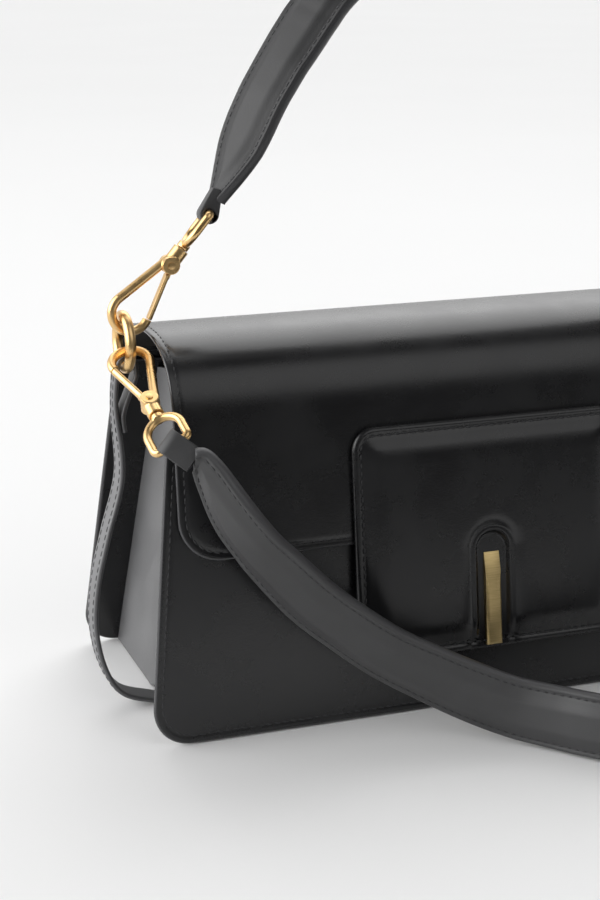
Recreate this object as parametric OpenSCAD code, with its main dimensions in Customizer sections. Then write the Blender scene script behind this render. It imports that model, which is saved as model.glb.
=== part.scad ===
// Baguette bag: two leather panels joined by pinched gussets, a wide flap with a padded tab,
// a carrying band under the base that holds a ring at each end, and two straps whose swivel
// snap hooks are clipped to the rings.

/* [Body] */
// Width of the front and back panels at the bottom
body_w = 270; // [220:1:330]
// Depth of the bag at the bottom, between the panels' outer faces
body_d = 112; // [100:1:130]
// Height of the front and back panels, along their slope
panel_h = 126; // [110:1:140]
// Thickness of the front and back panels
panel_t = 2.4; // [1.8:0.1:3]
// Angle by which each side edge of a panel leans in
side_taper = 5.7; // [3:0.1:8]
// Angle by which the front panel leans back
front_lean = 7; // [4:0.5:9]
// Angle by which the back panel leans forward
back_lean = 9.5; // [6:0.5:11]
// Radius of the bottom corners of the panels
corner_r = 15; // [8:1:20]
// Distance from a panel's side edge to its gusset
gusset_inset = 15; // [10:1:20]
// Thickness of the gussets
gusset_t = 1.6; // [1.2:0.1:2.4]
// Depth of the fold at the top of a gusset
gusset_pinch = 24; // [10:1:32]
// Thickness of the leather base
base_t = 1.8; // [1.2:0.1:3]
// Thickness of the stiff board on the base
board_t = 1.6; // [1:0.1:3]
// Thickness of the lining
lining_t = 0.8; // [0.6:0.1:1.2]
// Width of the slip pocket on the back lining
pocket_w = 140; // [100:1:170]
// Height of the slip pocket
pocket_h = 70; // [50:1:90]

/* [Flap] */
// Distance from a panel's bottom corner to the line of the flap's side
flap_inset = 13.5; // [10:0.5:24]
// Thickness of the flap's leather
flap_t = 1.5; // [1.2:0.1:2]
// Height of the flap's crown above the panels
flap_rise = 18.5; // [14:0.5:26]
// How far the flap's front reaches down from the panel's top edge
flap_drop = 58; // [40:1:70]
// Radius of the flap's front corners
flap_corner_r = 16; // [8:1:24]
// How far the flap is sewn down on the back panel
hem_h = 22; // [14:1:34]

/* [Tab and bar] */
// Width of the padded tab
tab_w = 110; // [80:1:130]
// Height of the padded tab
tab_h = 89.5; // [80:0.5:95]
// How far the tab overlaps the flap
tab_over = 43.5; // [30:0.5:48]
// Radius of the tab's corners
tab_corner_r = 9; // [5:0.5:14]
// Thickness of the tab at its rim
tab_rim_t = 2; // [1.4:0.1:3]
// Rise of the tab's padding above its rim
tab_pad_t = 1.8; // [1:0.1:3]
// Width of the metal bar
bar_w = 6.3; // [5:0.1:8]
// Height of the metal bar
bar_h = 36; // [28:0.5:40]
// Thickness of the metal bar
bar_t = 3.4; // [2.4:0.1:4.5]
// Diameter of the two magnets
magnet_d = 16; // [12:0.5:20]

/* [Band and rings] */
// Width of the carrying band
band_w = 11; // [8:0.5:13]
// Thickness of the carrying band
band_t = 1.9; // [1.4:0.1:2.4]
// Width of the carrying band where it goes through a ring
band_neck_w = 7.2; // [6:0.1:9]
// Place of the band and rings from the middle of the depth, towards the front
band_forward = 12; // [4:1:18]
// Distance from the flap's side to the middle of a ring's wire
ring_out = 9; // [8:0.5:14]
// Outer diameter of a ring
ring_d = 23.3; // [21:0.1:27]
// Diameter of a ring's wire
ring_wire = 4; // [3.4:0.1:4.4]

/* [Snap hooks] */
// Diameter of a hook's rod
hook_rod = 3.4; // [3:0.1:3.8]
// Distance from the collar to the middle of the hook's bow
hook_reach = 27.6; // [25:0.1:32]
// Radius of the bow, to the middle of its rod
bow_r = 6.9; // [6.6:0.1:8.5]
// Distance from the collar to the gate's pivot
pivot_drop = 5; // [4.8:0.1:6]
// Angle by which a gate swings open
gate_open = 18; // [12:1:20]
// Half the width of the swivel eye, to the middle of its rod
eye_r = 6.6; // [6:0.1:8]
// Distance from the collar to the eye's straight bar
eye_reach = 18.1; // [17:0.1:21]
// Diameter of the eye's rod
eye_rod = 3.1; // [2.6:0.1:3.4]

/* [Straps] */
// Width of a strap at its widest
strap_w = 25; // [20:0.5:30]
// Width of a strap's end loop
neck_w = 9.2; // [7:0.1:9.4]
// Thickness of a strap's lining
strap_lining_t = 1.2; // [0.8:0.1:1.6]
// Thickness of a strap's padded leather at its middle
strap_pad_t = 3.2; // [2.4:0.1:4]

/* [Hidden] */

black = [0.13, 0.13, 0.14];
dark = [0.09, 0.09, 0.1];
gold = [0.83, 0.64, 0.3];
steel = [0.6, 0.6, 0.62];
tan_suede = [0.36, 0.3, 0.25];

flap_w = body_w - 2 * flap_inset;
front_face = band_forward - body_d / 2;
back_face = band_forward + body_d / 2;
seat = 0.1;         // two layers that are sewn or glued together
running = 0.3;      // a soft piece beside one that moves
pin_clear = 0.06;   // round a pin that turns
fine = 48;

front_lift = panel_t * sin(front_lean);
back_lift = panel_t * sin(back_lean);

// Vector helpers
function unit(v) = v / norm(v);
function mix(a, b, t) = a * (1 - t) + b * t;
function mirror_x(v) = [-v[0], v[1], v[2]];
function arc(c, r, a0, a1, n = 8) = [for (i = [0:n]) let (a = a0 + (a1 - a0) * i / n) c + r * [cos(a), sin(a)]];

// A smooth curve through points, by Catmull-Rom, with n steps between two of them
function curve_at(a, b, c, d, t) =
    0.5 * (2 * b + (c - a) * t + (2 * a - 5 * b + 4 * c - d) * t * t + (3 * b - a - 3 * c + d) * t * t * t);
function curve(p, n) = let (k = len(p) - 1) concat(
    [for (i = [0:k - 1]) let (a = p[max(i - 1, 0)], d = p[min(i + 2, k)])
        for (j = [0:n - 1]) curve_at(a, p[i], p[i + 1], d, j / n)],
    [p[k]]);

// A path in a plane, moved to its left by d
function path_normal(p, i) = let (
    a = p[max(i - 1, 0)], b = p[min(i + 1, len(p) - 1)], t = unit(b - a)) [-t[1], t[0]];
function moved(p, d) = [for (i = [0:len(p) - 1]) p[i] + d * path_normal(p, i)];
function reversed(p) = [for (i = [len(p) - 1:-1:0]) p[i]];
function ribbon(p, d0, d1) = concat(moved(p, d0), reversed(moved(p, d1)));

// Places on the leaning panels: y is 0 on the outer face and grows inwards, z runs up the slope
module on_front() {
    translate([0, front_face, front_lift]) rotate([-front_lean, 0, 0]) children();
}
module on_back() {
    translate([0, back_face, back_lift]) rotate([back_lean, 0, 0]) mirror([0, 1, 0]) children();
}
module sheet_y(y0, y1) {
    translate([0, y1, 0]) rotate([90, 0, 0]) linear_extrude(y1 - y0) children();
}
function front_y(z, depth) =
    front_face + depth / cos(front_lean) + (z - front_lift) * tan(front_lean);
function back_y(z, depth) =
    back_face - depth / cos(back_lean) - (z - back_lift) * tan(back_lean);

// Bag body

function panel_outline(w, h, r) = let (
    c = [w / 2 - r * tan(side_taper) - r / cos(side_taper), r],
    side = arc(c, r, -90, side_taper),
    top = [w / 2 - h * tan(side_taper), h])
    concat(side, [top], [[-top[0], top[1]]], reversed([for (p = side) [-p[0], p[1]]]));

module panel_plate() {
    sheet_y(0, panel_t) polygon(panel_outline(body_w, panel_h, corner_r));
}

magnet_z = panel_h - flap_drop - 27;
magnet_pocket = 1.6;

module front_panel() {
    color(black) on_front() difference() {
        panel_plate();
        translate([0, panel_t + 1, magnet_z]) rotate([90, 0, 0])
            cylinder(d = magnet_d + 2 * seat, h = 1 + magnet_pocket, $fn = fine);
    }
}

module back_panel() {
    color(black) on_back() panel_plate();
}

gusset_top = (panel_h - 4) * cos(front_lean);
gusset_apex = 0.55;   // where the fold starts, as a share of the gusset's height
base_z = band_t + running;
floor_z = base_z + base_t + seat + board_t;

// How far the gusset is folded in: none along the panels and in the flat triangle at its foot
function fold_in(s, t) = gusset_pinch * (1 - s) * max(0, t - gusset_apex * (1 - s)) / (1 - gusset_apex * (1 - s));
function gusset_x(y, z) = let (
    far = y < 0 ? front_y(z, panel_t + seat) : back_y(z, panel_t + seat),
    s = y / far)
    -(body_w / 2 - gusset_inset - z * tan(side_taper)) + fold_in(s, z / gusset_top);

module gusset() {
    rows = 9;
    cols = 14;
    half = cols / 2;
    function y_at(j, z) = j < half
        ? front_y(z, panel_t + seat) * (1 - j / half)
        : back_y(z, panel_t + seat) * (j / half - 1);
    z_at = [for (i = [0:rows]) mix(base_z, gusset_top, i / rows)];
    outer = [for (z = z_at) for (j = [0:cols]) let (y = y_at(j, z)) [gusset_x(y, z), y, z]];
    inner = [for (p = outer) p + [gusset_t, 0, 0]];
    n = cols + 1;
    m = len(outer);
    quads = [for (i = [0:rows - 1]) for (j = [0:cols - 1]) let (a = i * n + j) [a, a + 1, a + n + 1, a + n]];
    rim = concat([for (j = [0:cols - 1]) j], [for (i = [0:rows - 1]) i * n + cols],
        [for (j = [cols:-1:1]) rows * n + j], [for (i = [rows:-1:1]) i * n]);
    faces = concat(
        [for (q = quads) for (f = [[q[0], q[1], q[2]], [q[0], q[2], q[3]]]) f],
        [for (q = quads) for (f = [[q[2], q[1], q[0]], [q[3], q[2], q[0]]]) [for (k = f) k + m]],
        [for (k = [0:len(rim) - 1]) let (a = rim[k], b = rim[(k + 1) % len(rim)])
            for (f = [[b, a, a + m], [b, a + m, b + m]]) f]);
    polyhedron(concat(outer, inner), faces);
}

module gusset_left() {
    color(black) gusset();
}

module gusset_right() {
    color(black) mirror([1, 0, 0]) gusset();
}

module floor_sheet(z0, z1, inset) {
    x = body_w / 2 - gusset_inset - z1 * tan(side_taper) - gusset_t - inset;
    y0 = front_y(z1, panel_t + inset);
    y1 = back_y(z1, panel_t + inset);
    translate([-x, y0, z0]) cube([2 * x, y1 - y0, z1 - z0]);
}

module base_panel() {
    color(black) floor_sheet(base_z, base_z + base_t, seat);
}

module base_board() {
    color(tan_suede) floor_sheet(base_z + base_t + seat, floor_z, 1.5);
}

lining_z = floor_z + 1;

module lining_sheet() {
    h = panel_h - 4;
    x0 = body_w / 2 - gusset_inset - gusset_t - 0.5 - lining_z * tan(side_taper);
    x1 = x0 - (h - lining_z) * tan(side_taper);
    sheet_y(panel_t + seat, panel_t + seat + lining_t)
        polygon([[-x0, lining_z], [x0, lining_z], [x1, h], [-x1, h]]);
}

module lining_front() {
    color(tan_suede) on_front() lining_sheet();
}

module lining_back() {
    color(tan_suede) on_back() lining_sheet();
}

module slip_pocket() {
    y0 = panel_t + lining_t + 2 * seat;
    top = panel_h - 14;
    hem = 9;
    color(tan_suede) on_back() union() {
        sheet_y(y0, y0 + lining_t) translate([-pocket_w / 2, top - pocket_h]) square([pocket_w, pocket_h]);
        sheet_y(y0 + lining_t, y0 + 2 * lining_t) translate([-pocket_w / 2, top - hem]) square([pocket_w, hem]);
    }
}

module lower_magnet() {
    color(steel) on_front() translate([0, panel_t, magnet_z]) rotate([90, 0, 0])
        cylinder(d = magnet_d, h = magnet_pocket - seat, $fn = fine);
}

// Flap: it follows the front panel up, goes over a rounded crown and turns on the back panel

flap_lining_t = 0.7;
flap_all = flap_t + flap_lining_t;
roof_z = panel_h * cos(front_lean) + 2;
roof_front = front_y(roof_z, -running - flap_all);
roof_back = back_y(roof_z, -seat - flap_all);
crown_y = mix(roof_front, roof_back, 0.43);

// The flap's outer surface over the top, from the hinge on the back to the front panel
function roof(n) = concat(
    [for (i = [0:n]) let (a = 90 * i / n)
        [crown_y + (roof_back - crown_y) * cos(a), roof_z + flap_rise * sin(a)]],
    [for (i = [1:n]) let (a = 90 * i / n)
        [crown_y + (roof_front - crown_y) * sin(a), roof_z + flap_rise * cos(a)]]);

hinge_r = flap_all / 2;
hinge_at = [0, roof_back - hinge_r, roof_z];
flap_low = panel_h - flap_drop;
flap_join = (roof_z - front_lift) / cos(front_lean);

module roof_sheet(d0, d1, inset) {
    w = flap_w - 2 * inset;
    translate([-w / 2, 0, 0]) rotate([90, 0, 90]) linear_extrude(w) polygon(ribbon(roof(10), d0, d1));
}

module flap_front_sheet(y0, y1, inset) {
    x = flap_w / 2 - inset;
    r = flap_corner_r - inset;
    low = flap_low + inset;
    side = arc([x - r, low + r], r, -90, 0);
    on_front() sheet_y(y0, y1) polygon(concat(side, [[x, flap_join], [-x, flap_join]],
        reversed([for (p = side) [-p[0], p[1]]])));
}

module flap() {
    color(black) union() {
        roof_sheet(0, flap_t, 0);
        flap_front_sheet(-running - flap_all, -running - flap_lining_t, 0);
        translate([-flap_w / 2, hinge_at[1], hinge_at[2]]) rotate([0, 90, 0])
            cylinder(r = hinge_r, h = flap_w, $fn = fine);
    }
}

module flap_lining() {
    edge = 1.5;
    color(tan_suede) union() {
        difference() {
            roof_sheet(flap_t, flap_all, edge);
            translate([-flap_w / 2, hinge_at[1] - 2 * hinge_r, roof_z - 1])
                cube([flap_w, 4 * hinge_r, 1 + hinge_r + seat]);
        }
        flap_front_sheet(-running - flap_lining_t, -running, edge);
    }
}

module flap_hem() {
    top = (roof_z - hinge_r - 0.2 - back_lift) / cos(back_lean);
    color(black) on_back() sheet_y(-seat - flap_all, -seat)
        translate([-flap_w / 2, top - hem_h]) square([flap_w, hem_h]);
}

// Tab: a backing on the flap, a padded leather with a notch, and a metal bar in the notch

tab_low = flap_low + tab_over - tab_h;
tab_back_y = -running - flap_all - seat;
backing_t = 1;
notch_w = bar_w + 6;
notch_top = bar_h + 8;
bar_low = 1.5;

function round_rect(w, z0, z1, r) = concat(
    arc([w / 2 - r, z0 + r], r, -90, 0), arc([w / 2 - r, z1 - r], r, 0, 90),
    arc([r - w / 2, z1 - r], r, 90, 180), arc([r - w / 2, z0 + r], r, 180, 270));

module tab_sheet(y0, y1, inset) {
    sheet_y(y0, y1) polygon(round_rect(tab_w - 2 * inset, tab_low + inset, tab_low + tab_h - inset,
        tab_corner_r - inset * 0.6));
}

module tab_pad() {
    rim_y = tab_back_y - backing_t;
    color(black) on_front() difference() {
        union() {
            tab_sheet(rim_y - tab_rim_t, rim_y, 0);
            hull() {
                tab_sheet(rim_y - tab_rim_t - 0.2, rim_y - tab_rim_t + 0.2, 4.2);
                tab_sheet(rim_y - tab_rim_t - tab_pad_t * 0.8, rim_y - tab_rim_t, 6.5);
                tab_sheet(rim_y - tab_rim_t - tab_pad_t, rim_y - tab_rim_t, 11);
            }
        }
        sheet_y(rim_y - 20, rim_y + 1) union() {
            translate([-notch_w / 2, tab_low - 5]) square([notch_w, notch_top]);
            translate([0, tab_low - 5 + notch_top]) circle(d = notch_w, $fn = fine);
        }
    }
}

pin_r = 0.8;
bar_pins = [bar_h * 0.2, bar_h * 0.8];

module tab_backing() {
    color(black) on_front() difference() {
        tab_sheet(tab_back_y - backing_t, tab_back_y, 0.6);
        for (z = bar_pins) translate([0, tab_back_y + 1, tab_low + bar_low + z]) rotate([90, 0, 0])
            cylinder(r = pin_r + pin_clear, h = backing_t + 2, $fn = fine);
    }
}

module bar() {
    y = tab_back_y - backing_t;
    z0 = tab_low + bar_low;
    edge = 0.9;
    slope_z = bar_h * 0.66;
    side = [[0, 0], [-bar_t + edge, 0], [-bar_t, edge], [-bar_t, slope_z], [-bar_t * 0.35, bar_h], [0, bar_h]];
    front = [[-bar_w / 2, 0], [bar_w / 2, 0], [bar_w / 2, -bar_t + edge], [bar_w / 2 - edge, -bar_t],
        [edge - bar_w / 2, -bar_t], [-bar_w / 2, -bar_t + edge]];
    color(gold) on_front() union() {
        translate([0, y, z0]) intersection() {
            translate([-bar_w, 0, 0]) rotate([90, 0, 90]) linear_extrude(2 * bar_w) polygon(side);
            linear_extrude(bar_h) polygon(front);
        }
        for (z = bar_pins) translate([0, y + backing_t + 0.9, z0 + z]) rotate([90, 0, 0])
            cylinder(r = pin_r, h = backing_t + 1.4, $fn = fine);
    }
}

module bar_washers() {
    washer_t = 0.6;
    washer_r = 2.6;
    color(steel) on_front() for (z = bar_pins)
        translate([0, tab_back_y + seat + washer_t, tab_low + bar_low + z]) rotate([90, 0, 0]) difference() {
            cylinder(r = washer_r, h = washer_t, $fn = fine);
            translate([0, 0, -1]) cylinder(r = pin_r + pin_clear, h = washer_t + 2, $fn = fine);
        }
}

module upper_magnet() {
    color(steel) on_front() translate([0, -running, magnet_z]) rotate([90, 0, 0]) difference() {
        cylinder(d = magnet_d, h = -tab_back_y - running - seat, $fn = fine);
        for (z = bar_pins) translate([0, tab_low + bar_low + z - magnet_z, -1])
            cylinder(r = 3, h = 20, $fn = fine);
    }
}

// Rings and the carrying band

ring_r = (ring_d - ring_wire) / 2;
ring_x = flap_w / 2 + ring_out;
ring_z = roof_z + ring_r + 5.9;
ring_at = [-ring_x, 0, ring_z];

module ring() {
    color(gold) translate(ring_at) rotate([0, 90, 0])
        rotate_extrude($fn = 96) translate([ring_r, 0]) circle(d = ring_wire, $fn = fine);
}

module ring_left() {
    ring();
}

module ring_right() {
    mirror([1, 0, 0]) ring();
}

// The band's route in the XZ plane: from the short inner tail over the ring's wire and down the
// outside, away from the gusset, then in under the base
sag = ring_r - sqrt(ring_r * ring_r - band_neck_w * band_neck_w / 4);
fold_at = [-ring_x, ring_z - ring_r + sag];
fold_clear = 0.45;
fold_r = ring_wire / 2 + fold_clear + band_t / 2;
// Outward from the ring and up, as a share of the fold's height
band_out = [[4.4, 0.88], [3.4, 0.69], [9, 0.52], [13.4, 0.38], [14.8, 0.25], [11.8, 0.125], [5, 0.04]];
band_low = band_t / 2;
band_tail = [fold_at + [-3.9 + band_t + running, -24], fold_at + [-4.1 + band_t + running, -18],
    fold_at + [1, -10], fold_at + [fold_r, -4], fold_at + [fold_r, 0]];
band_side = concat([fold_at + [-fold_r, 0]],
    [for (p = band_out) [fold_at[0] - p[0], band_low + (fold_at[1] - band_low) * p[1]]],
    [[-ring_x + 9, band_low]]);
function without_last(p) = [for (i = [0:len(p) - 2]) p[i]];

// The band seen from the side: it narrows towards the ring
neck_top = fold_at[1] + fold_r + band_t;
band_front = let (a = band_w / 2, b = band_neck_w / 2, low = neck_top - 34, high = neck_top - 16)
    [[-a, -1], [a, -1], [a, low], [b, high], [b, neck_top], [-b, neck_top], [-b, high], [-a, low]];

module carry_band() {
    left = concat(without_last(curve(band_tail, 4)), without_last(arc(fold_at, fold_r, 0, 180, 12)),
        curve(band_side, 4));
    route = concat(left, reversed([for (p = left) [-p[0], p[1]]]));
    color(black) intersection() {
        translate([0, band_w / 2, 0]) rotate([90, 0, 0])
            linear_extrude(band_w) polygon(ribbon(route, -band_t / 2, band_t / 2));
        translate([-body_w, 0, 0]) rotate([90, 0, 90]) linear_extrude(2 * body_w) polygon(band_front);
    }
}

// Snap hooks, in their own frame: z runs from the bow to the eye, x to the spine, y is the
// gate's pivot axis, and the origin is the middle of the collar

bow_at = [0.8, -hook_reach];
pivot_at = [0, -pivot_drop];
spine_top = [1.1, -1.6];
ear_r = 3.3;
ear_half = 3.1;
tongue_half = 1.1;
gate_root_r = 2.6;
collar_r = 3;
screw_r = 0.85;
gate_flat = 0.2;
gate_gap = 0.25;
collar_top = 2.2;
post_r = 1.3;

// Where a line from p touches the bow's circle, on the side given by 1 or -1
function touch_angle(p, side) = let (d = p - bow_at) atan2(d[1], d[0]) + side * acos(bow_r / norm(d));
function on_bow(a) = bow_at + bow_r * [cos(a), sin(a)];
spine_touch = touch_angle(spine_top, -1);
gate_touch = touch_angle(pivot_at, 1);
gate_tip = on_bow(gate_touch);
spine_end = on_bow(spine_touch);
gate_len = norm(gate_tip - pivot_at) - gate_gap;
gate_angle = atan2(gate_tip[0] - pivot_at[0], pivot_at[1] - gate_tip[1]);

// A rod between two points of the hook's plane
module rod(a, b, r) {
    d = b - a;
    translate([a[0], 0, a[1]]) rotate([0, atan2(d[0], d[1]), 0]) cylinder(r = r, h = norm(d), $fn = fine);
}

module at_pivot() {
    translate([pivot_at[0], 0, pivot_at[1]]) children();
}

// The gate's own frame: z runs from the pivot away from the bow, so the gate hangs down it
module along_gate(opened = 0) {
    at_pivot() rotate([0, -gate_angle - opened, 0]) children();
}

// The slot that the gate's root turns in, widened towards the spine for the opened gate
module gate_slot(clear) {
    out = [-hook_rod / 2 - clear, gate_flat + clear];
    reach = 7;
    function swung(p, opened) = let (a = gate_angle + opened)
        pivot_at + [p[0] * cos(a) - p[1] * sin(a), p[1] * cos(a) + p[0] * sin(a)];
    rotate([90, 0, 0]) linear_extrude(2 * (tongue_half + clear), center = true) union() {
        translate(pivot_at) circle(r = gate_root_r + clear, $fn = fine);
        polygon(concat([swung([out[0], 0], 0), swung([out[0], -reach - 3], 0)],
            [for (i = [0:3]) swung([out[1], -reach], gate_open * i / 3)], [swung([out[1], 0], gate_open)]));
    }
}

module hook() {
    clear = 0.15;
    color(gold) difference() {
        union() {
            rod(spine_top, spine_end + 0.1 * unit(spine_top - spine_end), hook_rod / 2);
            translate([spine_end[0], 0, spine_end[1]]) sphere(d = hook_rod + 0.1, $fn = fine);
            translate([bow_at[0], 0, bow_at[1]]) rotate([90, 0, 0]) rotate([0, 0, gate_touch])
                rotate_extrude(angle = spine_touch - gate_touch + 359, $fn = 96)
                    translate([bow_r, 0]) circle(d = hook_rod, $fn = fine);
            at_pivot() rotate([90, 0, 0]) cylinder(r = ear_r, h = 2 * ear_half, center = true, $fn = fine);
            translate([0, 0, -pivot_drop]) cylinder(r = collar_r, h = pivot_drop + collar_top, $fn = fine);
        }
        gate_slot(clear);
        at_pivot() rotate([90, 0, 0]) cylinder(r = screw_r + 0.02, h = 20, center = true, $fn = fine);
        translate([0, 0, -1.8]) cylinder(r = 2, h = 1.3, $fn = fine);
        translate([0, 0, -1.2]) cylinder(r = post_r + pin_clear, h = 5, $fn = fine);
    }
}

module gate() {
    color(gold) difference() {
        union() {
            at_pivot() rotate([90, 0, 0])
                cylinder(r = gate_root_r, h = 2 * tongue_half, center = true, $fn = fine);
            along_gate() translate([-hook_rod / 2, -tongue_half, -5])
                cube([hook_rod / 2 + gate_flat, 2 * tongue_half, 5]);
            along_gate() translate([0, 0, -gate_len]) linear_extrude(gate_len - ear_r - 0.4) intersection() {
                circle(d = hook_rod, $fn = fine);
                translate([-hook_rod, -hook_rod]) square([hook_rod + gate_flat, 2 * hook_rod]);
            }
        }
        at_pivot() rotate([90, 0, 0]) cylinder(r = screw_r + pin_clear, h = 20, center = true, $fn = fine);
    }
}

module screw() {
    head_h = 0.7;
    color(gold) at_pivot() rotate([90, 0, 0]) difference() {
        union() {
            translate([0, 0, -ear_half - 0.3]) cylinder(r = screw_r, h = 2 * ear_half + 0.3, $fn = fine);
            translate([0, 0, -ear_half - 0.4]) cylinder(r = 1.3, h = 0.4, $fn = fine);
            translate([0, 0, ear_half]) cylinder(r = 1.8, h = head_h, $fn = fine);
        }
        translate([-3, -0.25, ear_half + head_h - 0.35]) cube([6, 0.5, 1]);
    }
}

// The eye: an oval rod with a straight bar for the strap, on a post that turns in the collar
module eye() {
    bend = 1.8;
    low = collar_top + 0.3 + eye_rod / 2 + 0.2;
    mid = low + eye_r;
    r = eye_rod / 2;
    color(gold) union() {
        translate([0, 0, -1.65]) cylinder(r = 1.8, h = 1, $fn = fine);
        translate([0, 0, -1.4]) cylinder(r = post_r, h = 1.4 + low, $fn = fine);
        translate([0, 0, collar_top + 0.2]) cylinder(r = 2.3, h = 2.2, $fn = fine);
        translate([0, 0, mid]) rotate([90, 0, 0]) rotate([0, 0, 180])
            rotate_extrude(angle = 180, $fn = 96) translate([eye_r, 0]) circle(r = r, $fn = fine);
        for (s = [-1, 1]) {
            rod([s * eye_r, mid], [s * eye_r, eye_reach - bend], r);
            translate([s * (eye_r - bend), 0, eye_reach - bend]) rotate([90, 0, 0])
                rotate([0, 0, s > 0 ? 0 : 90]) rotate_extrude(angle = 90, $fn = 96)
                    translate([bend, 0]) circle(r = r, $fn = fine);
        }
        rod([bend - eye_r, eye_reach], [eye_r - bend, eye_reach], r);
    }
}

// Placing the hooks on the ring: up is the direction from bow to eye, and the ring's wire lies
// in the bow, on the side given by an angle

function seat_in_bow(side, clear) =
    bow_at + (bow_r - hook_rod / 2 - ring_wire / 2 - clear) * [cos(side), sin(side)];
function frame_at(o, x, y, z) = [
    [x[0], y[0], z[0], o[0]], [x[1], y[1], z[1], o[1]], [x[2], y[2], z[2], o[2]], [0, 0, 0, 1]];

handle_tilt = 40;
handle_up = [sin(handle_tilt), 0, cos(handle_tilt)];
handle_n = [0, -1, 0];
handle_x = cross(handle_n, handle_up);
handle_wire = ring_at + [0, 0, ring_r];
handle_seat = seat_in_bow(-60, 0.45);
handle_at = handle_wire - handle_seat[0] * handle_x - handle_seat[1] * handle_up;
handle_turn = 78;

shoulder_up = unit([0.09, -0.897, -0.436]);
shoulder_n = unit(cross(shoulder_up, [0.98, 0.01, 0.186]));
shoulder_x = cross(shoulder_n, shoulder_up);
shoulder_wire = ring_at + ring_r * unit([0, shoulder_up[1], shoulder_up[2]]);
shoulder_seat = seat_in_bow(-75, 0.6);
shoulder_at = shoulder_wire - shoulder_seat[0] * shoulder_x - shoulder_seat[1] * shoulder_up;
shoulder_turn = 21.5;

module on_handle_hook() {
    multmatrix(frame_at(handle_at, handle_x, handle_n, handle_up)) children();
}
module on_shoulder_hook() {
    multmatrix(frame_at(shoulder_at, shoulder_x, shoulder_n, shoulder_up)) children();
}
module other_side() {
    mirror([1, 0, 0]) children();
}

// Straps: stations along a smooth route, each with a middle, a width direction and a half width

handle_end = handle_at + eye_reach * handle_up;
shoulder_end = shoulder_at + eye_reach * shoulder_up;
handle_across = cos(handle_turn) * handle_x + sin(handle_turn) * handle_n;
shoulder_across = cos(shoulder_turn) * shoulder_x + sin(shoulder_turn) * shoulder_n;
loop_len = 9;
loop_ply = 1.7;
loop_r = eye_rod / 2 + running;

// The part of v that is square to a direction
function square_to(v, d) = unit(v - (v * d) * d);

// A route's points as [middle, width direction]: the near ones from the left end, the far ones
// from the right end
handle_near = [
    [[13.8, 0, 33], [-0.06, -1, 0.04]],
    [[24.2, 0, 53.5], [-0.06, -1, 0.06]],
    [[35.2, 0, 67.5], [-0.05, -1, 0.06]],
    [[55, 0, 84], [-0.03, -1, 0.06]],
    [[85, 0, 100], [0, -1, 0.02]],
    [[122, 0, 106], [0.02, -1, 0]]
];
handle_far = [
    [[-35.6, 0, 98], [0.04, -1, 0.04]],
    [[-5.6, 0, 72], [0.06, -1, 0.06]],
    [[9.4, 0, 38], [0.1, -1, 0.04]]
];
handle_dir_l = square_to([4.9, 0, 12.2], handle_across);
handle_dir_r = square_to([8.2, 0, 12.5], mirror_x(handle_across));

shoulder_near = [
    [[8.7, -6, -13], [0.7, -0.06, 0.7]],
    [[13.8, -7.3, -19.5], [0.62, 0.02, 0.78]],
    [[20, -8, -28], [0.59, 0.05, 0.81]],
    [[27.3, -8.5, -38], [0.57, 0.06, 0.82]],
    [[36, -9, -47.5], [0.55, 0.08, 0.83]],
    [[47.5, -10, -59], [0.48, 0.1, 0.87]],
    [[60, -12, -70], [0.45, 0.12, 0.88]],
    [[75, -15, -81], [0.4, 0.14, 0.9]],
    [[90, -19, -89.5], [0.36, 0.16, 0.92]],
    [[104.5, -24, -96.7], [0.3, 0.17, 0.94]],
    [[118, -31, -101.5], [0.25, 0.18, 0.95]],
    [[130, -41, -103.8], [0.18, 0.14, 0.97]],
    [[141, -53, -104.3], [0.1, 0.1, 0.98]],
    [[154, -65, -104.3], [0.05, 0.05, 1]]
];
shoulder_far = [
    [[-84.8, -77, -104.3], [0, 0, 1]],
    [[-62.8, -84, -104.3], [-0.04, -0.04, 1]],
    [[-38.8, -84, -103], [-0.1, -0.04, 0.98]],
    [[-17.8, -74, -97], [-0.3, 0.1, 0.9]],
    [[-3.8, -56, -83], [-0.6, 0.3, 0.7]],
    [[2.2, -36, -62], [-0.85, 0.3, 0.4]],
    [[3.7, -19, -39], [-0.95, 0.15, 0.12]],
    [[1.7, -9, -17], [-0.95, 0.02, -0.25]]
];
shoulder_dir_l = square_to([5, -4, -8], shoulder_across);
shoulder_other = mirror_x(shoulder_end);
shoulder_across_r = -mirror_x(shoulder_across);
shoulder_dir_r = square_to(shoulder_far[len(shoulder_far) - 1][0], shoulder_across_r);

// A whole route, from the end of one loop to the end of the other
function strap_route(e0, d0, a0, near, far, e1, d1, a1) = concat(
    [for (s = [seat, 1.2]) [e0 + (loop_len + s) * d0, a0]],
    [for (m = near) [e0 + m[0], unit(m[1])]],
    [for (m = far) [e1 + m[0], unit(m[1])]],
    [for (s = [1.2, seat]) [e1 + (loop_len + s) * d1, a1]]);
handle_route = strap_route(handle_end, handle_dir_l, handle_across, handle_near, handle_far,
    mirror_x(handle_end), handle_dir_r, mirror_x(handle_across));
shoulder_route = strap_route(shoulder_end, shoulder_dir_l, shoulder_across, shoulder_near, shoulder_far,
    shoulder_other, shoulder_dir_r, shoulder_across_r);

function lengths(p, i = 0, sum = 0) = i >= len(p) - 1 ? [sum]
    : concat([sum], lengths(p, i + 1, sum + norm(p[i + 1] - p[i])));
// Half the strap's width, at a distance from its nearer end
taper_len = 90;
function half_width(s) = (neck_w + (strap_w - neck_w) * sqrt(min(1, s / taper_len))) / 2;

// A curve whose first and last steps are straight
function straight_ends(p, steps) = let (k = len(p) - 1) concat(
    [p[0]], curve([for (i = [1:k - 1]) p[i]], steps), [p[k]]);

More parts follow.
